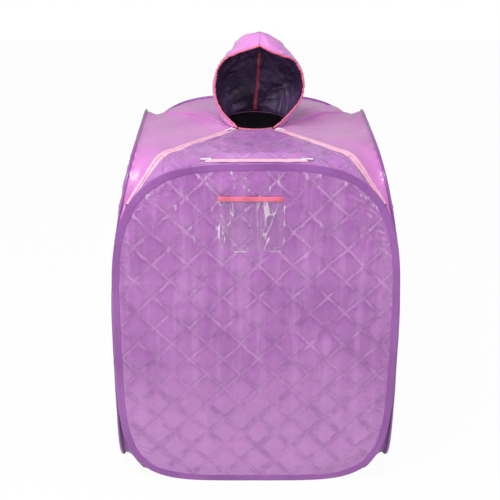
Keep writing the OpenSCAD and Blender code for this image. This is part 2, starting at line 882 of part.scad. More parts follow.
front_hoop_sleeve();
back_hoop_sleeve();
left_hoop_sleeve();
right_hoop_sleeve();
front_hoop_strip();
back_hoop_strip();
left_hoop_strip();
right_hoop_strip();
hoop_ferrules();
front_panel();
back_panel();
left_panel();
right_panel();
front_lining();
back_lining();
left_lining();
right_lining();
floor_panel();
rear_top_cover();
front_top_flap();
left_flap_corner();
right_flap_corner();
neck_binding();
left_zip_rear_tape();
right_zip_rear_tape();
left_zip_flap_tape();
right_zip_flap_tape();
left_zip_corner_tape();
right_zip_corner_tape();
left_zip_slider();
right_zip_slider();
left_zip_pull();
right_zip_pull();
hand_zip_front_tape();
hand_zip_rear_tape();
hand_zip_left_slider();
hand_zip_right_slider();
hand_zip_left_pull();
hand_zip_right_pull();
hood_shell();
hood_lining();
hood_seam_tape();
hood_face_binding();
hood_face_elastic();
pocket_window();
pocket_mouth_binding();
steam_inlet_flange();
steam_inlet_nut();
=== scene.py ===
import bpy
import math
import numpy as np
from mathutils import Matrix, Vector


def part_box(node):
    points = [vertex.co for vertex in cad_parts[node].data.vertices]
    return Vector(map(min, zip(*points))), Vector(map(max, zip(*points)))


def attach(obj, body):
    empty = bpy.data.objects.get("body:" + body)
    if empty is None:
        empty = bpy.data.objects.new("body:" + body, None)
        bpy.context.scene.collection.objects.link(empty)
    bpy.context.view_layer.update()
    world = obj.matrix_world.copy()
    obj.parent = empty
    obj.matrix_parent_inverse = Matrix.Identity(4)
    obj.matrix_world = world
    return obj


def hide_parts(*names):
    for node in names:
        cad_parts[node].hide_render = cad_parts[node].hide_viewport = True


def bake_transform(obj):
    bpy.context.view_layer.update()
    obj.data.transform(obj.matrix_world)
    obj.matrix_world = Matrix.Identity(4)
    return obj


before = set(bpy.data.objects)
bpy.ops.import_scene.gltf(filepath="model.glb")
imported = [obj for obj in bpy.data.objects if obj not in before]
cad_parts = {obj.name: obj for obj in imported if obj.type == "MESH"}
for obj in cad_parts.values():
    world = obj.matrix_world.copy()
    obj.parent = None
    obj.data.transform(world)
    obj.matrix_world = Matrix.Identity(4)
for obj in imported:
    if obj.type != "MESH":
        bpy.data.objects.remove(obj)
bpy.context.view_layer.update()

# ---- Sizes, in metres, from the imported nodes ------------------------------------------
lo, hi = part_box("front_hoop_sleeve")
FRONT, TALL, HOOP_A = lo.y, hi.z, hi.x
SLEEVE_T = hi.y - lo.y
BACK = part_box("back_hoop_sleeve")[1].y
lo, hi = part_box("right_hoop_sleeve")
HALF_W, SIDE_A = hi.x, hi.y
PANEL_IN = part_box("front_panel")[0].y - FRONT
PANEL_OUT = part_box("front_panel")[1].y - FRONT
LINING_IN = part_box("front_lining")[0].y - FRONT
PANEL_RIM = 0.010
FOOT_N, FRONT_N, SIDE_N, LEAN = 4.7, 3.4, 4.8, 0.066
lo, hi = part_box("neck_binding")
NECK_Z = (lo.z + hi.z) / 2
NECK_A, NECK_B = 0.092, 0.100
NECK_MID = FRONT + 0.350
lo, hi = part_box("hand_zip_rear_tape")
HAND_L = hi.x - lo.x
HAND_Z = hi.z - 0.0003
HAND_Y = lo.y - 0.0009
lo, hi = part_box("hood_shell")
HOOD_Z, HOOD_H = lo.z, hi.z - lo.z
HOOD_A, WIDEST, BROW_START, BROW = 0.131, 0.4, 0.66, 0.90
HEART = np.array([0.0, 0.0, TALL / 2])
RING_STEP = math.radians(3.75)


# ---- Noise and meshes -----------------------------------------------------------------
def hashed(ix, iy, seed):
    h = np.sin(ix * 127.1 + iy * 311.7 + seed * 74.7) * 43758.5453
    return h - np.floor(h)


def noise(x, y, seed=0):
    """Smooth value noise from -1 to 1, with one bump for each unit."""
    x, y = np.asarray(x, float), np.asarray(y, float)
    ix, iy = np.floor(x), np.floor(y)
    fx, fy = x - ix, y - iy
    ux, uy = fx * fx * (3 - 2 * fx), fy * fy * (3 - 2 * fy)
    a = hashed(ix, iy, seed) * (1 - ux) + hashed(ix + 1, iy, seed) * ux
    b = hashed(ix, iy + 1, seed) * (1 - ux) + hashed(ix + 1, iy + 1, seed) * ux
    return (a * (1 - uy) + b * uy) * 2 - 1


def ridged(x, y, seed=0):
    """Sharp-crested folds from 0 to 1."""
    return (1 - np.abs(noise(x, y, seed))) ** 2


def smooth(v, a, b):
    t = np.clip((v - a) / (b - a), 0, 1)
    return t * t * (3 - 2 * t)


def unit(v):
    return v / np.maximum(np.linalg.norm(v, axis=-1, keepdims=True), 1e-12)


def volume(verts, faces):
    total = 0.0
    for f in faces:
        a = verts[f[0]]
        for i in range(1, len(f) - 1):
            b, c = verts[f[i]], verts[f[i + 1]]
            total += (a[0] * (b[1] * c[2] - b[2] * c[1]) - a[1] * (b[0] * c[2] - b[2] * c[0])
                      + a[2] * (b[0] * c[1] - b[1] * c[0]))
    return total


def piece(name, verts, faces, mat, smooth_shade=True):
    verts = np.asarray(verts, float).reshape(-1, 3)
    if volume(verts, faces) < 0:
        faces = [tuple(reversed(f)) for f in faces]
    mesh = bpy.data.meshes.new(name)
    mesh.from_pydata(verts.tolist(), [], [tuple(int(i) for i in f) for f in faces])
    mesh.update()
    mesh.polygons.foreach_set("use_smooth", [smooth_shade] * len(mesh.polygons))
    mesh.materials.append(mat)
    obj = bpy.data.objects.new(name, mesh)
    bpy.context.scene.collection.objects.link(obj)
    return obj


def sheet_faces(rows, cols, keep=None):
    r, c = np.meshgrid(np.arange(rows - 1), np.arange(cols - 1), indexing="ij")
    a = (r * cols + c).ravel()
    quads = np.stack([a, a + 1, a + cols + 1, a + cols], axis=1)
    if keep is not None:
        quads = quads[keep.ravel()]
    return quads


def two_sided(top, bottom, keep=None):
    """A closed thin solid between two grids of points, with walls along every open edge."""
    rows, cols = top.shape[:2]
    count = rows * cols
    quads = sheet_faces(rows, cols, keep)
    edges = np.concatenate([quads[:, [i, (i + 1) % 4]] for i in range(4)])
    key = np.sort(edges, axis=1)
    key = key[:, 0] * count + key[:, 1]
    _, index, number = np.unique(key, return_index=True, return_counts=True)
    rim = edges[index[number == 1]]
    faces = [tuple(q) for q in quads] + [tuple(q[::-1] + count) for q in quads]
    faces += [(b, a, a + count, b + count) for a, b in rim]
    verts = np.concatenate([top.reshape(-1, 3), bottom.reshape(-1, 3)])
    used = np.unique(np.concatenate([np.asarray(f) for f in (quads.ravel(), quads.ravel() + count)]))
    new = np.full(2 * count, -1)
    new[used] = np.arange(len(used))
    return verts[used], [tuple(new[list(f)]) for f in faces]


def tube(path, radius, sides=12, flat=1.0, closed=False):
    path = np.asarray(path, float)
    n = len(path)
    radius = np.broadcast_to(radius, n)
    if closed:
        t = unit(np.roll(path, -1, 0) - np.roll(path, 1, 0))
    else:
        t = unit(np.gradient(path, axis=0))
    u = unit(np.cross(t[0], [0.13, 1, 0.07]))
    verts = []
    for i in range(n):
        u = unit(u - t[i] * np.dot(u, t[i]))
        v = np.cross(t[i], u)
        for k in range(sides):
            a = 2 * math.pi * k / sides
            verts.append(path[i] + radius[i] * (u * math.cos(a) + v * math.sin(a) * flat))
    faces = []
    for i in range(n if closed else n - 1):
        j = (i + 1) % n
        for k in range(sides):
            m = (k + 1) % sides
            faces.append((i * sides + k, i * sides + m, j * sides + m, j * sides + k))
    if not closed:
        faces.append(tuple(range(sides - 1, -1, -1)))
        faces.append(tuple((n - 1) * sides + k for k in range(sides)))
    return np.array(verts), faces


def resample(path, count):
    path = np.asarray(path, float)
    s = np.concatenate([[0], np.cumsum(np.linalg.norm(np.diff(path, axis=0), axis=1))])
    at = np.linspace(0, s[-1], count)
    return np.stack([np.interp(at, s, path[:, i]) for i in range(path.shape[1])], axis=1)


def softened(path, times):
    path = np.array(path, float)
    for _ in range(times):
        path[1:-1] = path[1:-1] * 0.5 + (path[:-2] + path[2:]) * 0.25
    return path


# ---- Materials ------------------------------------------------------------------------
def lin(r, g, b):
    return tuple((c / 255 / 12.92) if c / 255 <= 0.04045 else ((c / 255 + 0.055) / 1.055) ** 2.4
                 for c in (r, g, b)) + (1.0,)


class Nodes:
    def __init__(self, name):
        self.mat = bpy.data.materials.new(name)
        self.mat.use_nodes = True
        self.tree = self.mat.node_tree
        self.tree.nodes.clear()
        self.out = self.add("ShaderNodeOutputMaterial")
        self.bsdf = self.add("ShaderNodeBsdfPrincipled")
        self.link(self.bsdf.outputs[0], self.out.inputs[0])
        self.place = self.add("ShaderNodeTexCoord").outputs["Object"]

    def add(self, kind, **values):
        node = self.tree.nodes.new(kind)
        for key, value in values.items():
            setattr(node, key, value)
        return node

    def link(self, a, b):
        self.tree.links.new(a, b)

    def put(self, value, socket):
        if isinstance(value, bpy.types.NodeSocket):
            self.link(value, socket)
        else:
            socket.default_value = value

    def math(self, op, a, b=0.0, c=0.0):
        node = self.add("ShaderNodeMath", operation=op)
        for i, v in enumerate((a, b, c)):
            self.put(v, node.inputs[i])
        return node.outputs[0]

    def scaled(self, scale, turn=(0, 0, 0)):
        node = self.add("ShaderNodeMapping")
        node.inputs["Scale"].default_value = scale
        node.inputs["Rotation"].default_value = turn
        self.link(self.place, node.inputs["Vector"])
        return node.outputs[0]

    def noise(self, scale, detail=2.0, rough=0.5, where=None, distort=0.0):
        node = self.add("ShaderNodeTexNoise")
        node.inputs["Scale"].default_value = scale
        node.inputs["Detail"].default_value = detail
        node.inputs["Roughness"].default_value = rough
        node.inputs["Distortion"].default_value = distort
        self.link(where if where is not None else self.place, node.inputs["Vector"])
        return node.outputs["Fac"]

    def span(self, value, a, b, c, d):
        node = self.add("ShaderNodeMapRange", interpolation_type="SMOOTHSTEP")
        self.put(value, node.inputs[0])
        for i, v in enumerate((a, b, c, d)):
            node.inputs[i + 1].default_value = v
        return node.outputs[0]

    def blend(self, fac, a, b):
        node = self.add("ShaderNodeMix", data_type="RGBA")
        self.put(fac, node.inputs["Factor"])
        self.put(a, node.inputs[6])
        self.put(b, node.inputs[7])
        return node.outputs[2]

    def bump(self, height, distance, strength=1.0, before=None):
        node = self.add("ShaderNodeBump")
        node.inputs["Distance"].default_value = distance
        node.inputs["Strength"].default_value = strength
        self.link(height, node.inputs["Height"])
        if before is not None:
            self.link(before, node.inputs["Normal"])
        return node.outputs[0]


def fabric(name, light, dark, rough=(0.30, 0.45), crinkle=0.0006, weave=0.00006, sheen=0.25,
           quilt=None, tint=6.0, spec=0.5, coat=0.0, painted_sheen=0.0):
    """Woven cloth: slubs, crinkles and uneven colour, with optional painted sheen streaks. On a quilted piece it also
    paints shade and highlights along the seams; on an upright wall also painted glints near the top and painted bounce
    light low down. quilt names the axes of a quilted wall.
    """
    n = Nodes(name)
    colour = n.blend(n.span(n.noise(tint, 3.0), 0.3, 0.7, 0.0, 1.0), dark, light)
    # painted sheen: pale vertical streaks painted into the colour stand in for the satin's sheen
    if painted_sheen:
        sheen_streak = n.noise(34.0, 3.0, 0.6, n.scaled((1.0, 1.0, 0.07)))
        colour = n.blend(n.span(sheen_streak, 0.45, 0.68, 0.0, painted_sheen), colour, HIGHLIGHT_PALE)
    slub = n.noise(900.0, 1.0, 0.5, n.scaled((0.25, 1.0, 1.0)))
    slub2 = n.noise(900.0, 1.0, 0.5, n.scaled((1.0, 1.0, 0.25)))
    bump = n.bump(n.math("ADD", slub, slub2), weave)
    if crinkle:
        bump = n.bump(n.noise(26.0, 4.0, 0.55, distort=0.6), crinkle * 3, 1.0, bump)
        bump = n.bump(n.noise(95.0, 3.0, 0.6, distort=0.4), crinkle, 1.0, bump)
    if quilt:
        split = n.add("ShaderNodeSeparateXYZ")
        n.link(n.place, split.inputs[0])
        a, b = split.outputs[quilt[0]], split.outputs[quilt[1]]
        near, dash = [], []
        wall_up = quilt[1] == "Z"
        wave = n.math("MULTIPLY", n.math("SUBTRACT", n.noise(17.0, 3.0), 0.5), 0.011)
        p = n.math("ADD", n.math("MULTIPLY", n.math("ADD", a, b), 0.70710678), wave)
        q = n.math("ADD", n.math("MULTIPLY", n.math("SUBTRACT", a, b), 0.70710678), wave)
        # painted light: upright walls are painted lighter low down, standing in for light bounced up from the floor
        if wall_up:
            colour = n.blend(n.span(b, 0.08, 0.52, 0.85, 0.0), colour, LOW_BOUNCE_LIGHT)
        for value, other, step, start in ((p, q, QP, Q0), (q, p, QQ, Q1)):
            share = n.math("FRACT", n.math("ADD", n.math("DIVIDE", n.math("SUBTRACT", value, start), step), 0.5))
            gap = n.math("MULTIPLY", n.math("ABSOLUTE", n.math("SUBTRACT", share, 0.5)), step)
            near.append(gap)
            dash.append(n.math("FRACT", n.math("DIVIDE", other, 0.0042)))
        dist = n.math("MINIMUM", near[0], near[1])
        pucker = n.math("MULTIPLY", n.span(dist, 0.002, 0.020, 1.0, 0.0), n.noise(120.0, 2.0, 0.5, distort=0.8))
        bump = n.bump(pucker, 0.0042, 1.0, bump)
        # painted shade: the cloth darkens in noisy patches next to each seam, in the seam valleys
        side = n.span(dist, 0.003, 0.014, 1.0, 0.0)
        patch = n.span(n.noise(26.0, 2.0), 0.4, 0.62, 0.03, 0.32)
        colour = n.blend(n.math("MULTIPLY", side, patch), colour, SEAM_SHADE)
        # painted highlight: pale lines along the puckered seams, stronger higher up an upright wall
        glow = n.math("MULTIPLY", n.span(dist, 0.0004, 0.0058, 1.0, 0.0),
                      n.span(n.noise(19.0, 3.0), 0.36, 0.66, 0.06, 0.62))
        if wall_up:
            glow = n.math("MULTIPLY", glow, n.span(b, 0.12, 0.66, 0.30, 1.0))
        colour = n.blend(glow, colour, HIGHLIGHT_PALE)
        if wall_up:
            spark = n.noise(88.0, 4.0, 0.65, n.scaled((1.0, 1.0, 0.35)), 0.5)
            glint = n.math("MULTIPLY", n.span(spark, 0.55, 0.70, 0.0, 0.6), n.span(dist, 0.001, 0.011, 1.0, 0.08))
            colour = n.blend(n.math("MULTIPLY", glint, n.span(b, 0.60, 0.92, 0.0, 1.0)), colour, GLINT)
        stitch = n.math("MULTIPLY", n.span(dist, 0.0003, 0.0007, 1.0, 0.0),
                        n.span(n.math("MINIMUM", dash[0], dash[1]), 0.25, 0.35, 0.0, 1.0))
        bump = n.bump(stitch, 0.0005, 1.0, bump)
    n.link(colour, n.bsdf.inputs["Base Color"])
    n.link(n.span(n.noise(40.0, 3.0), 0.3, 0.7, rough[0], rough[1]), n.bsdf.inputs["Roughness"])
    n.link(bump, n.bsdf.inputs["Normal"])
    n.bsdf.inputs["Sheen Weight"].default_value = sheen
    n.bsdf.inputs["Sheen Roughness"].default_value = 0.4
    n.bsdf.inputs["Specular IOR Level"].default_value = spec
    if coat:
        n.bsdf.inputs["Coat Weight"].default_value = coat
        n.bsdf.inputs["Coat Roughness"].default_value = 0.16
    return n.mat


def hard(name, light, dark, rough=(0.3, 0.42), metal=0.0, scale=60.0, grain=0.00004, stretch=(1, 1, 1)):
    n = Nodes(name)
    where = n.scaled(stretch)
    patch = n.span(n.noise(scale, 3.0, 0.5, where), 0.35, 0.65, 0.0, 1.0)
    n.link(n.blend(patch, dark, light), n.bsdf.inputs["Base Color"])
    n.link(n.span(n.noise(scale * 2, 3.0, 0.5, where), 0.3, 0.7, rough[0], rough[1]), n.bsdf.inputs["Roughness"])
    n.link(n.bump(n.noise(scale * 12, 2.0, 0.5, where), grain), n.bsdf.inputs["Normal"])
    n.bsdf.inputs["Metallic"].default_value = metal
    return n.mat


# The quilting: two families of seams, their spacing and their start
QP, QQ, Q0, Q1 = 0.0674, 0.0681, 0.025, -0.012
# painted shade colour, for the seam valleys
SEAM_SHADE = lin(116, 54, 128)
# painted highlight colour, for the seam lines and the sheen streaks
HIGHLIGHT_PALE = lin(210, 156, 214)
# painted bounce-light colour, for the lower part of the walls
LOW_BOUNCE_LIGHT = lin(187, 126, 190)
GLINT = lin(240, 220, 242)

PURPLE, PURPLE_D = lin(170, 102, 176), lin(154, 86, 162)
SHINE = dict(rough=(0.28, 0.40), crinkle=0.0015, coat=0.75, painted_sheen=0.26)
M_FRONT = fabric("satin_quilted_front", PURPLE, PURPLE_D, quilt=("X", "Z"), **SHINE)
M_SIDE = fabric("satin_quilted_side", PURPLE, PURPLE_D, quilt=("Y", "Z"), **SHINE)
# painted light: the roof is the walls' quilted satin, painted lighter because it faces up into the light
M_ROOF_LIT = fabric("satin_quilted_roof", lin(188, 122, 194), lin(172, 104, 182), quilt=("X", "Y"), **SHINE)
M_SLEEVE = fabric("satin_sleeve", lin(152, 86, 166), lin(134, 68, 146), crinkle=0.0004, rough=(0.28, 0.4), coat=0.4)
M_COVER = fabric("satin_cover", lin(212, 134, 204), lin(198, 116, 192), crinkle=0.0007, rough=(0.3, 0.42), coat=0.3)
M_HOOD = fabric("satin_hood", lin(226, 152, 222), lin(212, 132, 208), crinkle=0.0007, rough=(0.3, 0.42), coat=0.3)
M_DARK = fabric("coated_hood_lining", lin(80, 57, 98), lin(52, 35, 68), crinkle=0.0011, rough=(0.38, 0.5), sheen=0.0,
                tint=14.0)
M_FLOOR = fabric("coated_floor", lin(150, 84, 160), lin(132, 68, 144), crinkle=0.0005, rough=(0.35, 0.5))
M_GREY = fabric("coated_lining", lin(196, 194, 204), lin(180, 178, 190), crinkle=0.0005, rough=(0.3, 0.5), sheen=0.0)
M_CORAL = fabric("coral_binding", lin(230, 114, 142), lin(212, 94, 124), crinkle=0.0002, rough=(0.4, 0.55), tint=40.0)
M_ZIP = fabric("zip_tape", lin(244, 192, 214), lin(234, 172, 198), crinkle=0.0, weave=0.0001,
               rough=(0.5, 0.65), tint=60.0)
M_ELASTIC = fabric("elastic", lin(238, 236, 236), lin(220, 216, 218), crinkle=0.0, rough=(0.5, 0.7),
                   sheen=0.0, tint=80.0)
M_TAPE = fabric("seam_tape", lin(190, 74, 100), lin(170, 58, 84), crinkle=0.0003, rough=(0.35, 0.5), tint=40.0)
M_WHITE = hard("white_enamel", lin(246, 242, 246), lin(236, 230, 238), rough=(0.22, 0.34))
M_PLASTIC = hard("white_moulded_plastic", lin(240, 238, 240), lin(228, 226, 230), rough=(0.35, 0.5), grain=0.00008)
M_STEEL = hard("spring_steel", lin(178, 182, 188), lin(140, 146, 154), rough=(0.22, 0.4), metal=1.0, stretch=(0.3, 0.3, 3.0))


def film():
    """Clear sheet, milky at its welded border, with painted highlights along that border and the creases, and painted
    reflection at grazing angles.
    """
    n = Nodes("clear_film")
    lo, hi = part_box("pocket_window")
    split = n.add("ShaderNodeSeparateXYZ")
    n.link(n.place, split.inputs[0])
    far = n.math("ABSOLUTE", n.math("SUBTRACT", split.outputs["X"], (lo.x + hi.x) / 2))
    # the border mask: the milky weld, plus a painted highlight on the folded edge
    side = n.span(far, (hi.x - lo.x) / 2 - 0.0065, (hi.x - lo.x) / 2 - 0.0045, 0.0, 1.0)
    foot = n.span(split.outputs["Z"], lo.z + 0.0045, lo.z + 0.0065, 1.0, 0.0)
    border = n.math("MULTIPLY", n.math("MAXIMUM", side, foot), n.span(n.noise(30.0, 2.0), 0.3, 0.7, 0.35, 0.85))
    n.bsdf.inputs["Base Color"].default_value = lin(240, 222, 242)
    # painted reflection: the white base shows more at grazing angles
    facing = n.add("ShaderNodeLayerWeight")
    facing.inputs["Blend"].default_value = 0.3
    # painted highlights: whiter streaks along the creases
    crease = n.noise(15.0, 3.0, 0.55, n.scaled((1.0, 1.0, 0.3), (0, 0.4, 0)), 1.4)
    sheen_streak = n.span(n.math("ABSOLUTE", n.math("SUBTRACT", crease, 0.5)), 0.0, 0.018, 0.42, 0.0)
    alpha = n.math("MAXIMUM", n.math("MAXIMUM", border, sheen_streak), n.span(facing.outputs["Facing"], 0.0, 1.0, 0.03, 0.35))
    n.link(alpha, n.bsdf.inputs["Alpha"])
    n.link(n.bump(n.noise(13.0, 2.0, 0.5, distort=0.9), 0.0025), n.bsdf.inputs["Normal"])
    n.bsdf.inputs["Roughness"].default_value = 0.14
    n.bsdf.inputs["Specular IOR Level"].default_value = 0.6
    return n.mat


M_FILM = film()

# ---- Hoops ----------------------------------------------------------------------------


def powered(v, p):
    return np.sign(v) * np.abs(v) ** p


def hoop_at(t, a, top_n, inset):
    n = np.where(np.sin(t) > 0, top_n, FOOT_N)
    return np.stack([(a - inset) * powered(np.cos(t), 2 / n),
                     TALL / 2 + (TALL / 2 - inset) * powered(np.sin(t), 2 / n)], axis=-1)


def hoop_ring(a, top_n, count):
    dense = hoop_at(np.linspace(0, 2 * math.pi, 8001), a, top_n, 0.0)
    return resample(dense, count + 1)[:-1]


def lean(z):
    return LEAN * np.maximum(0, z / TALL * 2 - 1) ** 2


def on_wall(wall, u, z, depth):
    """A point of a wall, given along the wall, up, and inwards from its outside."""
    u, z, depth = np.broadcast_arrays(u, z, depth)
    if wall == "front":
        return np.stack([u, FRONT + depth, z], -1)
    if wall == "back":
        return np.stack([u, BACK - depth, z], -1)
    side = 1 if wall == "right" else -1
    return np.stack([side * (HALF_W - depth - lean(z)), u, z], -1)


WALLS = {"front": (HOOP_A, FRONT_N, M_FRONT), "back": (HOOP_A, FRONT_N, M_FRONT),
         "left": (SIDE_A, SIDE_N, M_SIDE), "right": (SIDE_A, SIDE_N, M_SIDE)}


def sleeve(wall, seed):
    a, top_n, _ = WALLS[wall]
    count = 620
    ring = hoop_ring(a, top_n, count)
    t = unit(np.roll(ring, -1, 0) - np.roll(ring, 1, 0))
    inward = np.stack([-t[:, 1], t[:, 0]], -1)
    half = [(0.0, 4.5), (0.3, 2.6), (1.0, 1.2), (2.2, 0.35), (4.0, 0.0), (6.5, 0.0), (9.0, 0.2), (11.0, 0.5),
            (12.6, 0.75), (14.0, 0.6), (16.0, 0.4), (18.2, 0.35), (19.6, 0.6), (20.6, 1.6), (21.0, 3.0), (21.0, 4.5)]
    section = [(w, d) for w, d in half] + [(w, 9.0 - d) for w, d in half[-2:0:-1]]
    k = np.arange(count)
    grid = np.zeros((count, len(section), 3))
    for j, (w, d) in enumerate(section):
        w, d = w / 1000, d / 1000
        inner = smooth(np.array(w), 0.009, 0.015)
        sway = 0.0007 * noise(k / 9.0, 0 * k, seed) + 0.0005 * noise(k / 3.1, 0 * k, seed + 3)
        pucker = 0.00022 * np.sin(k * 0.9 + 2.5 * noise(k / 7.0, 0 * k, seed + 5)) * inner
        swell = 0.0006 * noise(k / 14.0, 0 * k + 3, seed + 7)
        side = 1 if d < 0.0045 else -1
        width = w + sway * smooth(np.array(w), 0.006, 0.02)
        point = ring + inward * width[:, None]
        depth = d + side * (np.abs(swell) + pucker) * (0 if abs(d - 0.0045) < 1e-6 else 1)
        grid[:, j] = on_wall(wall, point[:, 0], point[:, 1], np.clip(depth, 0.0, 0.009))
    cols = len(section)
    faces = []
    for i in range(count):
        n = (i + 1) % count
        for j in range(cols):
            m = (j + 1) % cols
            faces.append((i * cols + j, i * cols + m, n * cols + m, n * cols + j))
    verts = grid.reshape(-1, 3)
    o = piece("sleeve_" + wall, verts, faces, M_SLEEVE)
    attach(o, "tent")
    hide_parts(wall + "_hoop_sleeve")


for i, wall in enumerate(WALLS):
    sleeve(wall, 11 + i * 17)


# ---- Quilted walls and linings --------------------------------------------------------
def pillows(a, b, height):
    p, q = (a + b) / math.sqrt(2), (a - b) / math.sqrt(2)
    sp = np.abs(np.sin(math.pi * (p - Q0) / QP))
    sq = np.abs(np.sin(math.pi * (q - Q1) / QQ))
    h = height * np.minimum(sp ** 0.5, sq ** 0.5) ** 0.9 * (0.6 + 0.4 * (sp * sq) ** 0.5)
    cp, cq = np.floor((p - Q0) / QP), np.floor((q - Q1) / QQ)
    return h * (0.78 + 0.44 * hashed(cp, cq, 5))


def wall_grid(wall, nu, nz, rim):
    a, top_n, _ = WALLS[wall]
    u, v = np.meshgrid(np.linspace(-1, 1, nu), np.linspace(-1, 1, nz))
    n = np.where(v > 0, top_n, FOOT_N)
    m = np.maximum(np.maximum(np.abs(u), np.abs(v)), 1e-9)
    r = (np.abs(u / m) ** n + np.abs(v / m) ** n + 1e-9) ** (-1 / n)
    f = 1 + (r - 1) * m ** 3
    x, z = (a - rim) * u * f, TALL / 2 + (TALL / 2 - rim) * v * f
    reach = (np.abs(u * f) ** n + np.abs(v * f) ** n) ** (1 / n)
    return x, z, (1 - reach) * min(a, TALL / 2)


lo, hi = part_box("steam_inlet_flange")
INLET = ((lo.x + hi.x) / 2, (lo.z + hi.z) / 2)


def with_hole(wall, x, z, radius):
    """Leaves out the cells round the steam inlet and draws the hole's edge to a circle."""
    if wall != "back":
        return x, z, None
    dx, dz = x - INLET[0], z - INLET[1]
    far = np.hypot(dx, dz)
    mid = (far[:-1, :-1] + far[1:, :-1] + far[:-1, 1:] + far[1:, 1:]) / 4
    keep = mid > radius
    edge = np.zeros(far.shape, bool)
    gone = ~keep
    for i in (0, 1):
        for j in (0, 1):
            edge[i:i + gone.shape[0], j:j + gone.shape[1]] |= gone
    scale = np.where(edge, radius / np.maximum(far, 1e-6), 1.0)
    return INLET[0] + dx * scale, INLET[1] + dz * scale, keep


def quilted(wall, step, seed):
    a, _, mat = WALLS[wall]
    nu, nz = int(2 * a / step), int(TALL / step)
    x, z, edge = wall_grid(wall, nu, nz, PANEL_RIM)
    x, z, keep = with_hole(wall, x, z, 0.0185)
    sign = -1 if wall in ("back",) else 1
    taper = smooth(edge, 0.011, 0.042)
    h = pillows(x * sign if wall == "back" else x, z, 0.0060) * taper
    loose = 0.35 + 0.65 * smooth(x * sign / a - 0.9 * (z / TALL) + 0.55, -0.2, 0.8)
    p, q = (x + z) / math.sqrt(2), (x - z) / math.sqrt(2)
    folds = (0.0046 * ridged(p * 9 + 0.6 * noise(q * 5, p * 3, seed), q * 2.6, seed + 1)
             + 0.0030 * ridged(q * 13, p * 3.1 + noise(p * 7, q * 7, seed + 8), seed + 2) - 0.0028)
    soft = 0.0018 * noise(x * 5.5, z * 5.5, seed + 4)
    fine = 0.0007 * noise(p * 55, q * 26, seed + 6) + 0.0006 * noise(q * 60, p * 30, seed + 9)
    gather = 0.0016 * np.sin((x + 1.7 * z) * 210 + 3 * noise(x * 20, z * 20, seed)) * smooth(edge, 0.06, 0.012)
    lower = smooth(x * sign / a, 0.05, 0.8) * smooth(0.62 - z / TALL, 0.0, 0.35)
    creases = ridged(x * 5 + noise(x * 9, z * 9, seed), z * 21 + 1.5 * noise(x * 8, z * 6, seed + 12), seed + 11)
    creases = 0.0050 * (creases - 0.45)
    h = h + (folds * loose + soft + fine + creases * lower) * taper + gather * smooth(edge, 0.011, 0.018)
    h = h - 0.0010 * (1 - smooth(edge, 0.009, 0.014))
    if wall == "front":
        lo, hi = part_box("pocket_window")
        inside = smooth(x, lo.x - 0.01, lo.x + 0.01) * smooth(x, hi.x + 0.01, hi.x - 0.01)
        inside = inside * smooth(z, lo.z - 0.01, lo.z + 0.01) * smooth(z, hi.z + 0.01, hi.z - 0.01)
        h = np.where(inside > 0, h * (1 - 0.35 * inside), h)
    if wall == "back":
        flat = smooth(np.hypot(x - INLET[0], z - INLET[1]), 0.026, 0.055)
        h = h * flat
    top = on_wall(wall, x, z, PANEL_IN - np.maximum(h, -0.002))
    bottom = on_wall(wall, x, z, PANEL_OUT)
    o = piece("quilt_" + wall, *two_sided(top, bottom, keep), mat)
    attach(o, "tent")
    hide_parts(wall + "_panel")


def lined(wall, seed):
    a = WALLS[wall][0]
    x, z, edge = wall_grid(wall, int(2 * a / 0.014), int(TALL / 0.014), PANEL_RIM)
    x, z, keep = with_hole(wall, x, z, 0.0185)
    ripple = (0.0022 * (1 + noise(x * 11, z * 9, seed)) + 0.001 * (1 + noise(x * 30, z * 26, seed + 1)))
    ripple = ripple * smooth(edge, 0.0, 0.03)
    if wall == "back":
        ripple = ripple * smooth(np.hypot(x - INLET[0], z - INLET[1]), 0.026, 0.06)
    top = on_wall(wall, x, z, LINING_IN + ripple)
    bottom = on_wall(wall, x, z, LINING_IN + 0.001 + ripple)
    o = piece("lining_" + wall, *two_sided(top, bottom, keep), M_GREY)
    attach(o, "tent")
    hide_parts(wall + "_lining")


quilted("front", 0.0038, 21)
quilted("back", 0.0055, 43)
quilted("left", 0.0055, 65)
quilted("right", 0.0055, 87)
for i, wall in enumerate(WALLS):
    lined(wall, 101 + i * 9)


# ---- Floor ----------------------------------------------------------------------------
def foot_arc(a, reach, count):
    t = np.linspace(-math.pi + reach, -reach, count)
    return hoop_at(t, a, FRONT_N, 0.006)


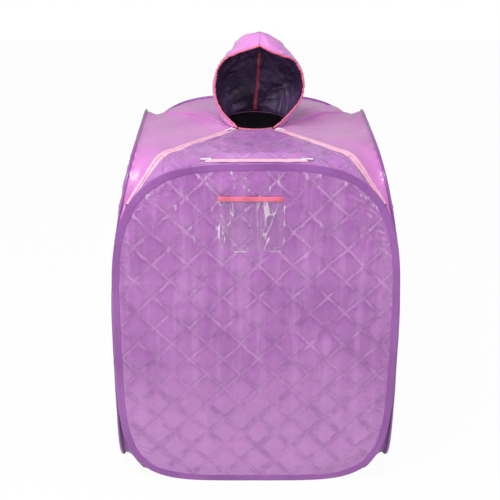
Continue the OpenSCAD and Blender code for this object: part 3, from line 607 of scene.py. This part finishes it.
def floor_sheet():
    arc_f = foot_arc(HOOP_A, 0.24, 90)
    arc_s = foot_arc(SIDE_A, 0.24, 80)
    inner_y, inner_x = -FRONT - 0.0045, HALF_W - 0.0045
    front = np.stack([arc_f[:, 0], 0 * arc_f[:, 0] - inner_y, arc_f[:, 1]], -1)
    right = np.stack([0 * arc_s[:, 0] + inner_x, arc_s[:, 0], arc_s[:, 1]], -1)
    back = front[::-1] * [1, -1, 1]
    left = right[::-1] * [-1, 1, 1]
    rim = np.concatenate([front, right, back, left])
    rim = np.concatenate([rim, rim[:1]])
    rows = np.linspace(0.002, 1, 46)[:, None, None]
    flat = rim[None] * [1, 1, 0] * rows
    low = 0.0022
    lift = np.maximum(rim[None, :, 2:] - low, 0) * smooth(rows, 0.80, 1.0) ** 2.2
    grid = flat.copy()
    grid[:, :, 2:] = low + lift
    grid[:, :, 2] += 0.0018 * (1 + noise(grid[:, :, 0] * 12, grid[:, :, 1] * 12, 7)) * smooth(1 - rows[:, :, 0], 0.02, 0.1)
    top = grid
    bottom = grid - [0, 0, 0.0016]
    cols = grid.shape[1] - 1
    top, bottom = top[:, :-1], bottom[:, :-1]
    nrow = top.shape[0]
    count = nrow * cols
    faces = []
    for r in range(nrow - 1):
        for c in range(cols):
            d = (c + 1) % cols
            q = (r * cols + c, r * cols + d, (r + 1) * cols + d, (r + 1) * cols + c)
            faces.append(q)
            faces.append(tuple(i + count for i in reversed(q)))
    faces.append(tuple(range(cols - 1, -1, -1)))
    faces.append(tuple(count + c for c in range(cols)))
    last = (nrow - 1) * cols
    for c in range(cols):
        d = (c + 1) % cols
        faces.append((last + c, last + d, last + d + count, last + c + count))
    o = piece("floor_sheet", np.concatenate([top.reshape(-1, 3), bottom.reshape(-1, 3)]), faces, M_FLOOR)
    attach(o, "tent")
    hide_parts("floor_panel")


floor_sheet()

# ---- Roof: the shoulder zips' line, the cover and the flap -----------------------------


def on_neck(angle, r):
    return np.stack([(NECK_A + r) * np.sin(angle), NECK_MID + (NECK_B + r) * np.cos(angle),
                     np.full(np.shape(angle), NECK_Z)], -1)


def hoop_corner(i, a, n):
    return hoop_at((2 * np.asarray(i, float) + 1) * RING_STEP, a, n, 0.002)


def on_front(i, y=0.0065, drop=0.0):
    p = hoop_corner(i, HOOP_A, FRONT_N)
    return np.stack([p[..., 0], np.full(p.shape[:-1], FRONT + y), p[..., 1] - drop], -1)


def on_back(i, y=0.0065, drop=0.0):
    p = hoop_corner(i, HOOP_A, FRONT_N)
    return np.stack([p[..., 0], np.full(p.shape[:-1], BACK - y), p[..., 1] - drop], -1)


def on_side(i, depth=0.0065, drop=0.0):
    p = hoop_corner(i, SIDE_A, SIDE_N)
    return np.stack([HALF_W - depth - lean(p[..., 1]), p[..., 0], p[..., 1] - drop], -1)


ZIP_ANGLE = math.radians(145)
ZIP_TOP = on_neck(np.array(ZIP_ANGLE), 0.006)
ZIP_BEND = np.array([0.255, FRONT + 0.080, TALL - 0.001])
MEET = (on_front(4.0, SLEEVE_T + 0.0008) + on_side(20.0, SLEEVE_T + 0.0008)) / 2
ZIP_FOOT = ZIP_BEND * 0.14 + MEET * 0.86
RUN_1, RUN_2 = unit(ZIP_BEND - ZIP_TOP), unit(ZIP_FOOT - ZIP_BEND)
ACROSS_1 = unit(np.array([RUN_1[1], -RUN_1[0], 0.0]))
NORMAL_1 = np.cross(ACROSS_1, RUN_1)
CROSS = on_front(6.0, SLEEVE_T + 0.0008) - on_side(17.0, SLEEVE_T + 0.0008)
ACROSS_2 = unit(CROSS - RUN_2 * np.dot(CROSS, RUN_2))
NORMAL_2 = np.cross(ACROSS_2, RUN_2)


def zip_line():
    """The zip's middle line on the right with its frame; turn is the index at the bend."""
    b1, b2 = ZIP_BEND - RUN_1 * 0.030, ZIP_BEND + RUN_2 * 0.030
    t = np.linspace(0, 1, 25)[:, None]
    curve = b1 * (1 - t) ** 2 + 2 * ZIP_BEND * t * (1 - t) + b2 * t * t
    path = np.concatenate([np.linspace(ZIP_TOP, b1, 30)[:-1], curve, np.linspace(b2, ZIP_FOOT, 30)[1:]])
    length = np.linalg.norm(np.diff(path, axis=0), axis=1).sum()
    mid = np.linalg.norm(b1 - ZIP_TOP) + np.linalg.norm(np.diff(curve[:13], axis=0), axis=1).sum()
    count = int(length / 0.0012)
    path = resample(path, count)
    turn = int(round(mid / length * (count - 1)))
    run = unit(np.gradient(path, axis=0))
    share = smooth(np.arange(count), turn - 30, turn + 30)[:, None]
    up = unit(NORMAL_1 * (1 - share) + NORMAL_2 * share)
    up = unit(up - run * (up * run).sum(1, keepdims=True))
    across = np.cross(run, up)
    return path, run, across, up, turn


Z_PATH, Z_RUN, Z_ACROSS, Z_UP, TURN = zip_line()


def mirrored(points):
    return points * [-1, 1, 1]


def catmull(points, count):
    """A smooth line through the points, with the points evenly spread along it."""
    points = np.asarray(points, float)
    p = np.concatenate([2 * points[:1] - points[1:2], points, 2 * points[-1:] - points[-2:-1]])
    s = np.linspace(0, len(points) - 1 - 1e-9, count)
    i = s.astype(int)
    t = (s - i)[:, None]
    a, b, c, d = p[i], p[i + 1], p[i + 2], p[i + 3]
    return 0.5 * (2 * b + (c - a) * t + (2 * a - 5 * b + 4 * c - d) * t ** 2 + (3 * b - a - 3 * c + d) * t ** 3)


def cover():
    """The smooth rear cover, one sheet from the left zip's foot round the neck to the right one's."""
    leg = (Z_PATH - Z_ACROSS * 0.0085 - Z_UP * 0.0012)
    below = np.stack([on_front(i, SLEEVE_T * 0.7, 0.002) for i in (1.6, 2.2, 2.8, 3.3, 3.7)])
    legs = np.concatenate([catmull(below, 16)[:-1], resample(leg[TURN:][::-1], 40), resample(leg[:TURN][::-1], 46)[1:]])
    neck = on_neck(np.radians(np.linspace(135, 0, 74)), -0.001) - [0, 0, 0.0006]
    inner = np.concatenate([legs, neck])
    first = catmull(on_side(np.array([22.4, 21.8, 21.2, 20.7, 20.3]), 0.0060, 0.0035), 16)[:-1]
    a = np.concatenate([first, catmull(on_side(np.arange(20, 2, -1.0), 0.0060, 0.0035), 103)])
    b = catmull(on_back(np.arange(4, 11.6, 0.5), 0.0060, 0.0035), len(inner) - len(a))
    outer = np.concatenate([a, b])
    inner = np.concatenate([inner, mirrored(inner[::-1])[1:]])
    outer = np.concatenate([outer, mirrored(outer[::-1])[1:]])
    outer = softened(outer, 3)
    rows = 56
    t = np.linspace(0, 1, rows)[:, None, None]
    grid = inner[None] * (1 - t) + outer[None] * t
    turn = np.clip((inner[:, 2] - outer[:, 2]) / 0.100, 0, 1)[None, :]
    bend = t[:, :, 0] * (1 - turn) + t[:, :, 0] ** 4 * turn
    grid[..., 2] = inner[None, :, 2] * (1 - bend) + outer[None, :, 2] * bend
    c = np.arange(len(inner), dtype=float)[None, :]
    r = t[:, :, 0]
    span = np.linalg.norm(outer - inner, axis=1)[None, :]
    middle = np.sin(math.pi * r)
    ring = np.abs(c - (len(inner) - 1) / 2)
    sag = -0.004 * middle * smooth(span, 0.05, 0.25)
    neck_pull = smooth(1 - r, 0.25, 1.0) * smooth(92 - ring, 0, 20)
    folds = 0.0052 * (ridged(c / 8.5 + 1.2 * noise(c / 15, r * 2, 3), r * 1.3, 31) - 0.35) * neck_pull
    folds = folds + 0.0034 * noise(c / 5.0 + 2 * r, r * 2.2, 33) * neck_pull
    broad = 0.0055 * noise(grid[..., 0] * 7, grid[..., 1] * 7, 35) * middle
    broad = broad + 0.0032 * (ridged(grid[..., 0] * 9 + grid[..., 1] * 11, grid[..., 1] * 4, 37) - 0.4) * middle
    small = 0.0011 * noise(grid[..., 0] * 34, grid[..., 1] * 30, 39) * smooth(middle, 0.0, 0.25)
    hem = 0.0016 * np.sin(c * 0.9 + 2 * noise(c / 6, r * 0, 41)) * smooth(r, 0.78, 0.94) * smooth(1 - r, 0.0, 0.05)
    rise = (sag + folds + broad + small + hem) * smooth(r, 0.0, 0.06)
    out = unit(grid - HEART)
    out = unit(out * [0.6, 0.6, 1.0])
    top = grid + out * rise[..., None]
    bottom = top - out * 0.0016
    o = piece("roof_cover", *two_sided(top, bottom), M_COVER)
    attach(o, "tent")
    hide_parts("rear_top_cover")


cover()


def roof_quilt(grid, height, seed):
    x, y = grid[..., 0], grid[..., 1]
    h = pillows(x, y, height)
    p, q = (x + y) / math.sqrt(2), (x - y) / math.sqrt(2)
    h = h + 0.0016 * (ridged(x * 9, y * 16, seed) - 0.4) + 0.0012 * noise(p * 40, q * 22, seed + 1)
    return h + 0.0009 * noise(x * 70, y * 24, seed + 2)


def roof_rise(grid, near, far):
    """Height of a quilted roof piece over its grid, held down along the hoop and along the zips."""
    return (roof_quilt(grid, 0.0034, 51) + 0.0035) * smooth(near, 0.010, 0.032) * smooth(far, 0.0, 0.022)


def flap():
    right = resample((Z_PATH + Z_ACROSS * 0.0085 - Z_UP * 0.001)[:TURN + 1][::-1], 88)
    neck = on_neck(np.radians(np.linspace(149, 211, 121)), 0.0008) - [0, 0, 0.0004]
    far = np.concatenate([right[:-1], neck, mirrored(right[::-1])[1:]])
    near_right = catmull(on_front(np.arange(8, 11.01, 0.5), 0.0058, 0.004), 88)
    near_mid = np.linspace(on_front(11.0, 0.0058, 0.004), on_front(12.0, 0.0058, 0.004), 121)
    near = np.concatenate([near_right[:-1], near_mid, mirrored(near_right[::-1])[1:]])
    rows = 84
    t = np.linspace(0, 1, rows)[:, None, None]
    grid = near[None] * (1 - t) + far[None] * t
    r = t[:, :, 0]
    wide = np.linalg.norm(near - far, axis=1)[None, :]
    level = np.maximum(np.abs(grid[..., 0]) - HAND_L / 2, 0) + np.maximum(np.abs(grid[..., 1] - HAND_Y) - 0.012, 0)
    h = roof_rise(grid, r * wide, (1 - r) * wide) * (0.15 + 0.85 * smooth(level, 0.0, 0.018))
    lift = 0.0035 * smooth(r * wide, 0.003, 0.012) * smooth((1 - r) * wide, 0.0, 0.03)
    z_zip = HAND_Z - 0.0026
    top = grid.copy()
    top[..., 2] = grid[..., 2] + h + lift
    near_zip = (1 - smooth(level, 0.0, 0.03)) * smooth(1 - r, 0.0, 0.2)
    top[..., 2] = top[..., 2] * (1 - near_zip) + z_zip * near_zip
    bottom = top - [0, 0, 0.0022]
    mid = (grid[:-1, :-1] + grid[1:, 1:]) / 2
    keep = ~((np.abs(mid[..., 0]) < HAND_L / 2 - 0.004) & (np.abs(mid[..., 1] - HAND_Y) < 0.0075))
    o = piece("roof_flap", *two_sided(top, bottom, keep), M_ROOF_LIT)
    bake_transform(o)
    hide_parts("front_top_flap")


flap()


def flap_corner(side, name):
    hoop = catmull(on_front(np.arange(8, 3.99, -0.5), 0.0058, 0.004), 60)
    leg = resample((Z_PATH + Z_ACROSS * 0.0085 - Z_UP * 0.001)[TURN:], 60)
    rows = 34
    t = np.linspace(0, 1, rows)[:, None, None]
    grid = hoop[None] * (1 - t) + leg[None] * t
    r = t[:, :, 0]
    wide = np.linalg.norm(hoop - leg, axis=1)[None, :]
    c = np.linspace(0, 1, grid.shape[1])[None, :]
    lift = 0.0035 * smooth(r * wide, 0.003, 0.012) * smooth((1 - r) * wide, 0.0, 0.03) * (1 - smooth(c, 0.1, 0.7))
    h = roof_rise(grid, r * wide, (1 - r) * wide) + lift
    turn = smooth(c, 0.0, 0.6)[..., None]
    out = unit(np.array([0, 0, 1.0]) * (1 - turn) + unit(unit(grid - HEART) + [0, -0.5, 0.8]) * turn)
    top = grid + out * h[..., None]
    bottom = top - out * 0.0022
    if side < 0:
        top, bottom = mirrored(top), mirrored(bottom)
    o = piece(name, *two_sided(top, bottom), M_ROOF_LIT)
    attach(o, "tent")
    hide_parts(("left" if side < 0 else "right") + "_flap_corner")


flap_corner(1, "roof_corner_right")
flap_corner(-1, "roof_corner_left")


# ---- Zips -----------------------------------------------------------------------------
def ribbon(name, path, side, up, mat, lift=0.0):
    """A zip tape beside its line, with a ridge of coil along the inner edge and a woven hem outside."""
    count = len(path)
    k = np.arange(count)
    coil = 0.00045 * (0.5 + 0.5 * np.sin(k * 2 * math.pi / 2.6))
    section = [(0.0009, -0.2, 0), (0.0010, 0.75, 1), (0.0018, 1.15, 1), (0.0027, 0.75, 1), (0.0033, 0.1, 0),
               (0.0050, 0.1, 0), (0.0080, 0.25, 0), (0.0104, 0.35, 0), (0.0114, 0.15, 0), (0.0119, -0.5, 0)]
    tops, lows = [], []
    wave = 0.0005 * noise(k / 22.0, 0 * k, 3)
    for w, h, ridge in section:
        z = h / 1000 + coil * ridge + lift + wave * smooth(np.array(w), 0.004, 0.012)
        tops.append(path + side * w + up * np.asarray(z)[:, None])
        under = np.asarray(0.0012 - lift + 0.0003 * ridge - wave * smooth(np.array(w), 0.004, 0.012))
        lows.append(path + side * w - up * under[..., None])
    top, low = np.stack(tops, 1), np.stack(lows, 1)
    return piece(name, *two_sided(top, low), mat)


def shoulder_zip(side, word):
    s = mirrored if side < 0 else (lambda p: p)
    jobs = [("flap_tape", slice(0, TURN), 1, "flap"), ("corner_tape", slice(TURN, None), 1, "tent"),
            ("rear_tape", slice(0, None), -1, "tent")]
    for name, part, way, body in jobs:
        o = ribbon("%s_zip_%s_shown" % (word, name), s(Z_PATH[part]), s(Z_ACROSS[part]) * way,
                   s(Z_UP[part]), M_ZIP, 0.0 if way > 0 else 0.0006)
        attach(o, body)
        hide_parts("%s_zip_%s" % (word, name))


shoulder_zip(1, "right")
shoulder_zip(-1, "left")

count = int(HAND_L / 0.0012)
hand_path = np.stack([np.linspace(-HAND_L / 2, HAND_L / 2, count), np.full(count, HAND_Y),
                      np.full(count, HAND_Z)], -1)
for way, word in ((1, "rear"), (-1, "front")):
    o = ribbon("hand_zip_%s_tape_shown" % word, hand_path, np.array([[0.0, way, 0.0]]),
               np.array([[0.0, 0, 1.0]]), M_ZIP)
    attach(o, "flap")
    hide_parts("hand_zip_%s_tape" % word)

angles = np.radians(np.linspace(148.5, 211.5, 90))
ring = on_neck(angles, -0.0026)
puff = 0.0030 * (1 + 0.06 * np.sin(np.arange(90) * 1.7))
o = piece("neck_binding_shown", *tube(ring, puff, 14), M_CORAL)
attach(o, "flap")
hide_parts("neck_binding")


# ---- Hood -----------------------------------------------------------------------------
def hood_half(s):
    low = NECK_A * (1 - np.sin(math.pi / 2 * s / WIDEST)) + HOOD_A * np.sin(math.pi / 2 * s / WIDEST)
    high = HOOD_A * (1 - np.clip((s - WIDEST) / (1 - WIDEST), 0, 1) ** 1.75) ** 0.68
    return np.where(s < WIDEST, low, high)


def hood_open(s):
    wave = np.sin(math.pi / 2 * np.minimum(s / WIDEST, 1))
    turn = np.clip((s - BROW_START) / (BROW - BROW_START), 0, 1) ** 1.6
    return np.radians(np.where(s < WIDEST, 145 * (1 - wave) + 98 * wave, 98 * (1 - turn) + 179.7 * turn))


def hood_point(s, share, inset):
    s, share = np.broadcast_arrays(np.asarray(s, float), np.asarray(share, float))
    angle = hood_open(s) * share
    a = np.maximum(hood_half(s) - inset, 0.001)
    d = np.maximum(NECK_B * (1 - s ** 3.2) ** 0.6 - inset, 0.001)
    return np.stack([a * np.sin(angle) + 0.011 * smooth(s, 0.0, 0.45), NECK_MID - 0.012 * s + d * np.cos(angle),
                     HOOD_Z + (HOOD_H - inset) * s], -1)


def hood_rumple(s, share):
    """How far the hood's cloth stands out at each place."""
    c = share * 9
    low = smooth(0.30 - s, 0.0, 0.28)
    gathers = 0.0042 * (ridged(c * 1.6 + 0.5 * noise(c, s * 4, 61), s * 2, 62) - 0.4) * low
    soft = 0.0034 * noise(c * 0.55, s * 5, 63) + 0.0022 * (ridged(c * 0.9 + s * 6, s * 5 - c * 0.4, 64) - 0.4)
    peak = smooth(s, 0.55, 0.9) * 0.0022 * noise(c * 1.1, s * 11, 66)
    edge = smooth(np.abs(share), 0.80, 0.97) * smooth(0.86 - s, 0.0, 0.06) * 0.0016 * np.sin(s * 150 + 3 * noise(s * 12, share * 0, 67))
    ends = smooth(s, 0.0, 0.05) * smooth(1 - s, 0.0, 0.06)
    front = 1 - smooth(s, 0.84, 0.90) * smooth(np.abs(share), 0.80, 1.0)
    return (gathers + soft + peak + edge) * ends * front


def hood():
    s = np.linspace(0, 1, 92)[:, None] ** 0.96
    share = np.linspace(1, -1, 150)[None, :]
    rumple = hood_rumple(s, share)
    ridge = 0.0012 * np.exp(-(share * 2.2 * hood_half(s) / 0.0022) ** 2) * smooth(s, 0.1, 0.2)
    top, low = hood_point(s, share, -rumple - ridge), hood_point(s, share, 0.0013 - rumple)
    o = piece("hood_shell_shown", *two_sided(top, low), M_HOOD)
    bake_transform(o)
    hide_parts("hood_shell")
    crinkle = 0.0030 * ridged(share * 7 + noise(share * 5, s * 5, 71), s * 6 + share, 72)
    crinkle = crinkle + 0.0022 * ridged(s * 13 - share * 4, share * 6 + noise(s * 9, share * 3, 74), 73)
    crinkle = crinkle * smooth(1 - np.abs(share), 0.0, 0.1) * smooth(s, 0.0, 0.06) * smooth(1 - s, 0.02, 0.2)
    top, low = hood_point(s, share, 0.0017 - rumple + crinkle), hood_point(s, share, 0.0026 - rumple + crinkle)
    o = piece("hood_lining_shown", *two_sided(top, low), M_DARK)
    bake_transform(o)
    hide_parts("hood_lining")
    # The seam tape down the middle of the lining
    st = np.linspace(0.02, 0.74, 80)[:, None]
    reach = np.maximum(hood_half(st), 0.03) * hood_open(st)
    sh = np.linspace(-1, 1, 7)[None, :] * (0.0052 - 0.0016 * st) / reach * 1.1
    sh = sh + 0.012 * noise(st * 7, 0 * st, 75)
    cr = 0.0030 * ridged(sh * 7 + noise(sh * 5, st * 5, 71), st * 6 + sh, 72)
    cr = cr + 0.0022 * ridged(st * 13 - sh * 4, sh * 6 + noise(st * 9, sh * 3, 74), 73)
    cr = cr * smooth(st, 0.0, 0.06) * smooth(1 - st, 0.02, 0.2)
    base = -hood_rumple(st, sh) + cr
    o = piece("hood_seam_tape_shown", *two_sided(hood_point(st, sh, base + 0.0022), hood_point(st, sh, base + 0.0042)), M_TAPE)
    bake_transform(o)
    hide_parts("hood_seam_tape")
    # The rolled binding round the face and the elastic in it
    sv = np.linspace(0.002, BROW - 0.004, 150)
    edge = hood_point(sv, 1.0, 0.0013 - hood_rumple(sv, np.full_like(sv, 1.0)))
    ahead = unit(edge - hood_point(sv, 0.96, 0.0013 - hood_rumple(sv, np.full_like(sv, 0.96))))
    right = edge + ahead * 0.0022
    other = hood_point(sv, -1.0, 0.0013 - hood_rumple(sv, np.full_like(sv, -1.0)))
    ahead = unit(other - hood_point(sv, -0.96, 0.0013 - hood_rumple(sv, np.full_like(sv, -0.96))))
    left = other + ahead * 0.0022
    path = softened(np.concatenate([right, left[::-1]]), 4)
    path = resample(path, 420)
    k = np.arange(420)
    radius = 0.0027 * (1 + 0.10 * np.sin(k * 1.25 + 2 * noise(k / 9, 0 * k, 77)) + 0.10 * noise(k / 16, 0 * k, 78))
    o = piece("hood_binding_shown", *tube(path, radius, 14), M_CORAL)
    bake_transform(o)
    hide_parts("hood_face_binding")
    o = piece("hood_elastic_shown", *tube(path, 0.0014, 8), M_ELASTIC)
    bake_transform(o)
    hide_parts("hood_face_elastic")


hood()


# ---- Pocket ---------------------------------------------------------------------------
def pocket():
    lo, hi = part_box("pocket_window")
    x, z = np.meshgrid(np.linspace(lo.x, hi.x, 74), np.linspace(lo.z, hi.z, 64))
    side = np.minimum(x - lo.x, hi.x - x)
    rise = smooth(side, 0.0, 0.014) * smooth(z - lo.z, 0.0, 0.016)
    wave = 0.0012 * noise(x * 16, z * 13, 91) + 0.0007 * noise(x * 34 + z * 20, z * 30, 92)
    out = 0.0008 + (0.0052 + wave) * rise
    y = hi.y - out
    top = np.stack([x, y, z], -1)
    low = np.stack([x, y + 0.0006, z], -1)
    o = piece("pocket_film", *two_sided(top, low), M_FILM)
    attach(o, "tent")
    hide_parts("pocket_window")
    blo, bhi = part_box("pocket_mouth_binding")
    cols = 120
    xs = np.linspace(blo.x - 0.0006, bhi.x + 0.0006, cols)
    side = np.minimum(xs - lo.x, hi.x - xs)
    mid = hi.y - 0.0008 - 0.0052 * smooth(side, 0.0, 0.014) - 0.0012 * noise(xs * 16, 0 * xs + hi.z * 13, 91) * smooth(side, 0, 0.014)
    tall = (bhi.z - blo.z) / 2
    section = [(math.cos(a), math.sin(a)) for a in np.linspace(0, 2 * math.pi, 21)[:-1]]
    k = np.arange(cols)
    grid = np.zeros((cols, 20, 3))
    for j, (c, s) in enumerate(section):
        h = powered(np.array(s), 0.55) * tall * (1 + 0.03 * np.sin(k * 1.4))
        d = powered(np.array(c), 0.6) * 0.0019
        grid[:, j] = np.stack([xs, mid + 0.0003 + d, (blo.z + bhi.z) / 2 + 0.0012 * noise(xs * 9, 0 * xs, 93) + h], -1)
    faces = []
    for i in range(cols - 1):
        for j in range(20):
            m = (j + 1) % 20
            faces.append((i * 20 + j, i * 20 + m, (i + 1) * 20 + m, (i + 1) * 20 + j))
    faces.append(tuple(range(19, -1, -1)))
    faces.append(tuple((cols - 1) * 20 + j for j in range(20)))
    o = piece("pocket_binding", grid.reshape(-1, 3), faces, M_CORAL)
    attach(o, "tent")
    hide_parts("pocket_mouth_binding")


pocket()

# ---- CAD nodes that stay, with their finishes ------------------------------------------
KEPT = {M_STEEL: ["front_hoop_strip", "back_hoop_strip", "left_hoop_strip", "right_hoop_strip", "hoop_ferrules"],
        M_WHITE: ["left_zip_slider", "right_zip_slider", "left_zip_pull", "right_zip_pull", "hand_zip_left_slider",
                  "hand_zip_right_slider", "hand_zip_left_pull", "hand_zip_right_pull"],
        M_PLASTIC: ["steam_inlet_flange", "steam_inlet_nut"]}
for mat, names in KEPT.items():
    for name in names:
        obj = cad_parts[name]
        if not obj.material_slots:
            obj.data.materials.append(mat)
        for place in obj.material_slots:
            place.material = mat

# ---- Floor, light and camera -----------------------------------------------------------
n = Nodes("studio_floor")
n.bsdf.inputs["Roughness"].default_value = 0.8
n.bsdf.inputs["Specular IOR Level"].default_value = 0.1
n.link(n.blend(n.noise(3.0), lin(250, 250, 250), lin(246, 246, 247)), n.bsdf.inputs["Base Color"])
glow = n.add("ShaderNodeEmission")
glow.inputs["Color"].default_value = (1, 1, 1, 1)
mixer = n.add("ShaderNodeMixShader")
path = n.add("ShaderNodeLightPath")
n.link(n.math("MULTIPLY", path.outputs["Is Camera Ray"], 0.96), mixer.inputs[0])
n.link(n.bsdf.outputs[0], mixer.inputs[1])
n.link(glow.outputs[0], mixer.inputs[2])
n.link(mixer.outputs[0], n.out.inputs[0])
mesh = bpy.data.meshes.new("studio_floor")
mesh.from_pydata([(-6, -6, 0), (6, -6, 0), (6, 6, 0), (-6, 6, 0)], [], [(0, 1, 2, 3)])
mesh.materials.append(n.mat)
ground = bpy.data.objects.new("studio_floor", mesh)
bpy.context.scene.collection.objects.link(ground)

world = bpy.data.worlds.new("studio")
bpy.context.scene.world = world
world.use_nodes = True
tree = world.node_tree
tree.nodes.clear()
out = tree.nodes.new("ShaderNodeOutputWorld")
soft = tree.nodes.new("ShaderNodeBackground")
soft.inputs[0].default_value = (1, 1, 1, 1)
soft.inputs[1].default_value = 0.44
white = tree.nodes.new("ShaderNodeBackground")
white.inputs[0].default_value = (1, 1, 1, 1)
white.inputs[1].default_value = 1.0
ray = tree.nodes.new("ShaderNodeLightPath")
either = tree.nodes.new("ShaderNodeMath")
either.operation = "MAXIMUM"
tree.links.new(ray.outputs["Is Camera Ray"], either.inputs[0])
tree.links.new(ray.outputs["Is Transmission Ray"], either.inputs[1])
mixer = tree.nodes.new("ShaderNodeMixShader")
tree.links.new(either.outputs[0], mixer.inputs[0])
tree.links.new(soft.outputs[0], mixer.inputs[1])
tree.links.new(white.outputs[0], mixer.inputs[2])
tree.links.new(mixer.outputs[0], out.inputs[0])


def softbox(name, at, look, size, power):
    light = bpy.data.lights.new(name, "AREA")
    light.shape = "RECTANGLE"
    light.size, light.size_y = size
    light.energy = power
    obj = bpy.data.objects.new(name, light)
    obj.location = at
    obj.rotation_euler = (Vector(look) - Vector(at)).to_track_quat("-Z", "Y").to_euler()
    bpy.context.scene.collection.objects.link(obj)


softbox("overhead", (-0.5, -1.5, 3.1), (0, -0.3, 0.7), (1.3, 0.5), 50)
softbox("front_left", (-2.4, -2.0, 1.9), (0, 0, 0.5), (0.8, 1.2), 26)
softbox("front_right", (2.4, -2.2, 1.7), (0, 0, 0.5), (0.8, 1.4), 14)

cam = bpy.data.cameras.new("camera")
cam.sensor_width = 36.0
cam.lens = 75.55
cam.shift_x = 0.0184
camera = bpy.data.objects.new("camera", cam)
camera.location = (-0.041, -2.946, 1.837)
camera.rotation_euler = (math.pi / 2 - 0.4, 0, 0)
bpy.context.scene.collection.objects.link(camera)
bpy.context.scene.camera = camera
bpy.context.scene.view_settings.view_transform = "Standard"
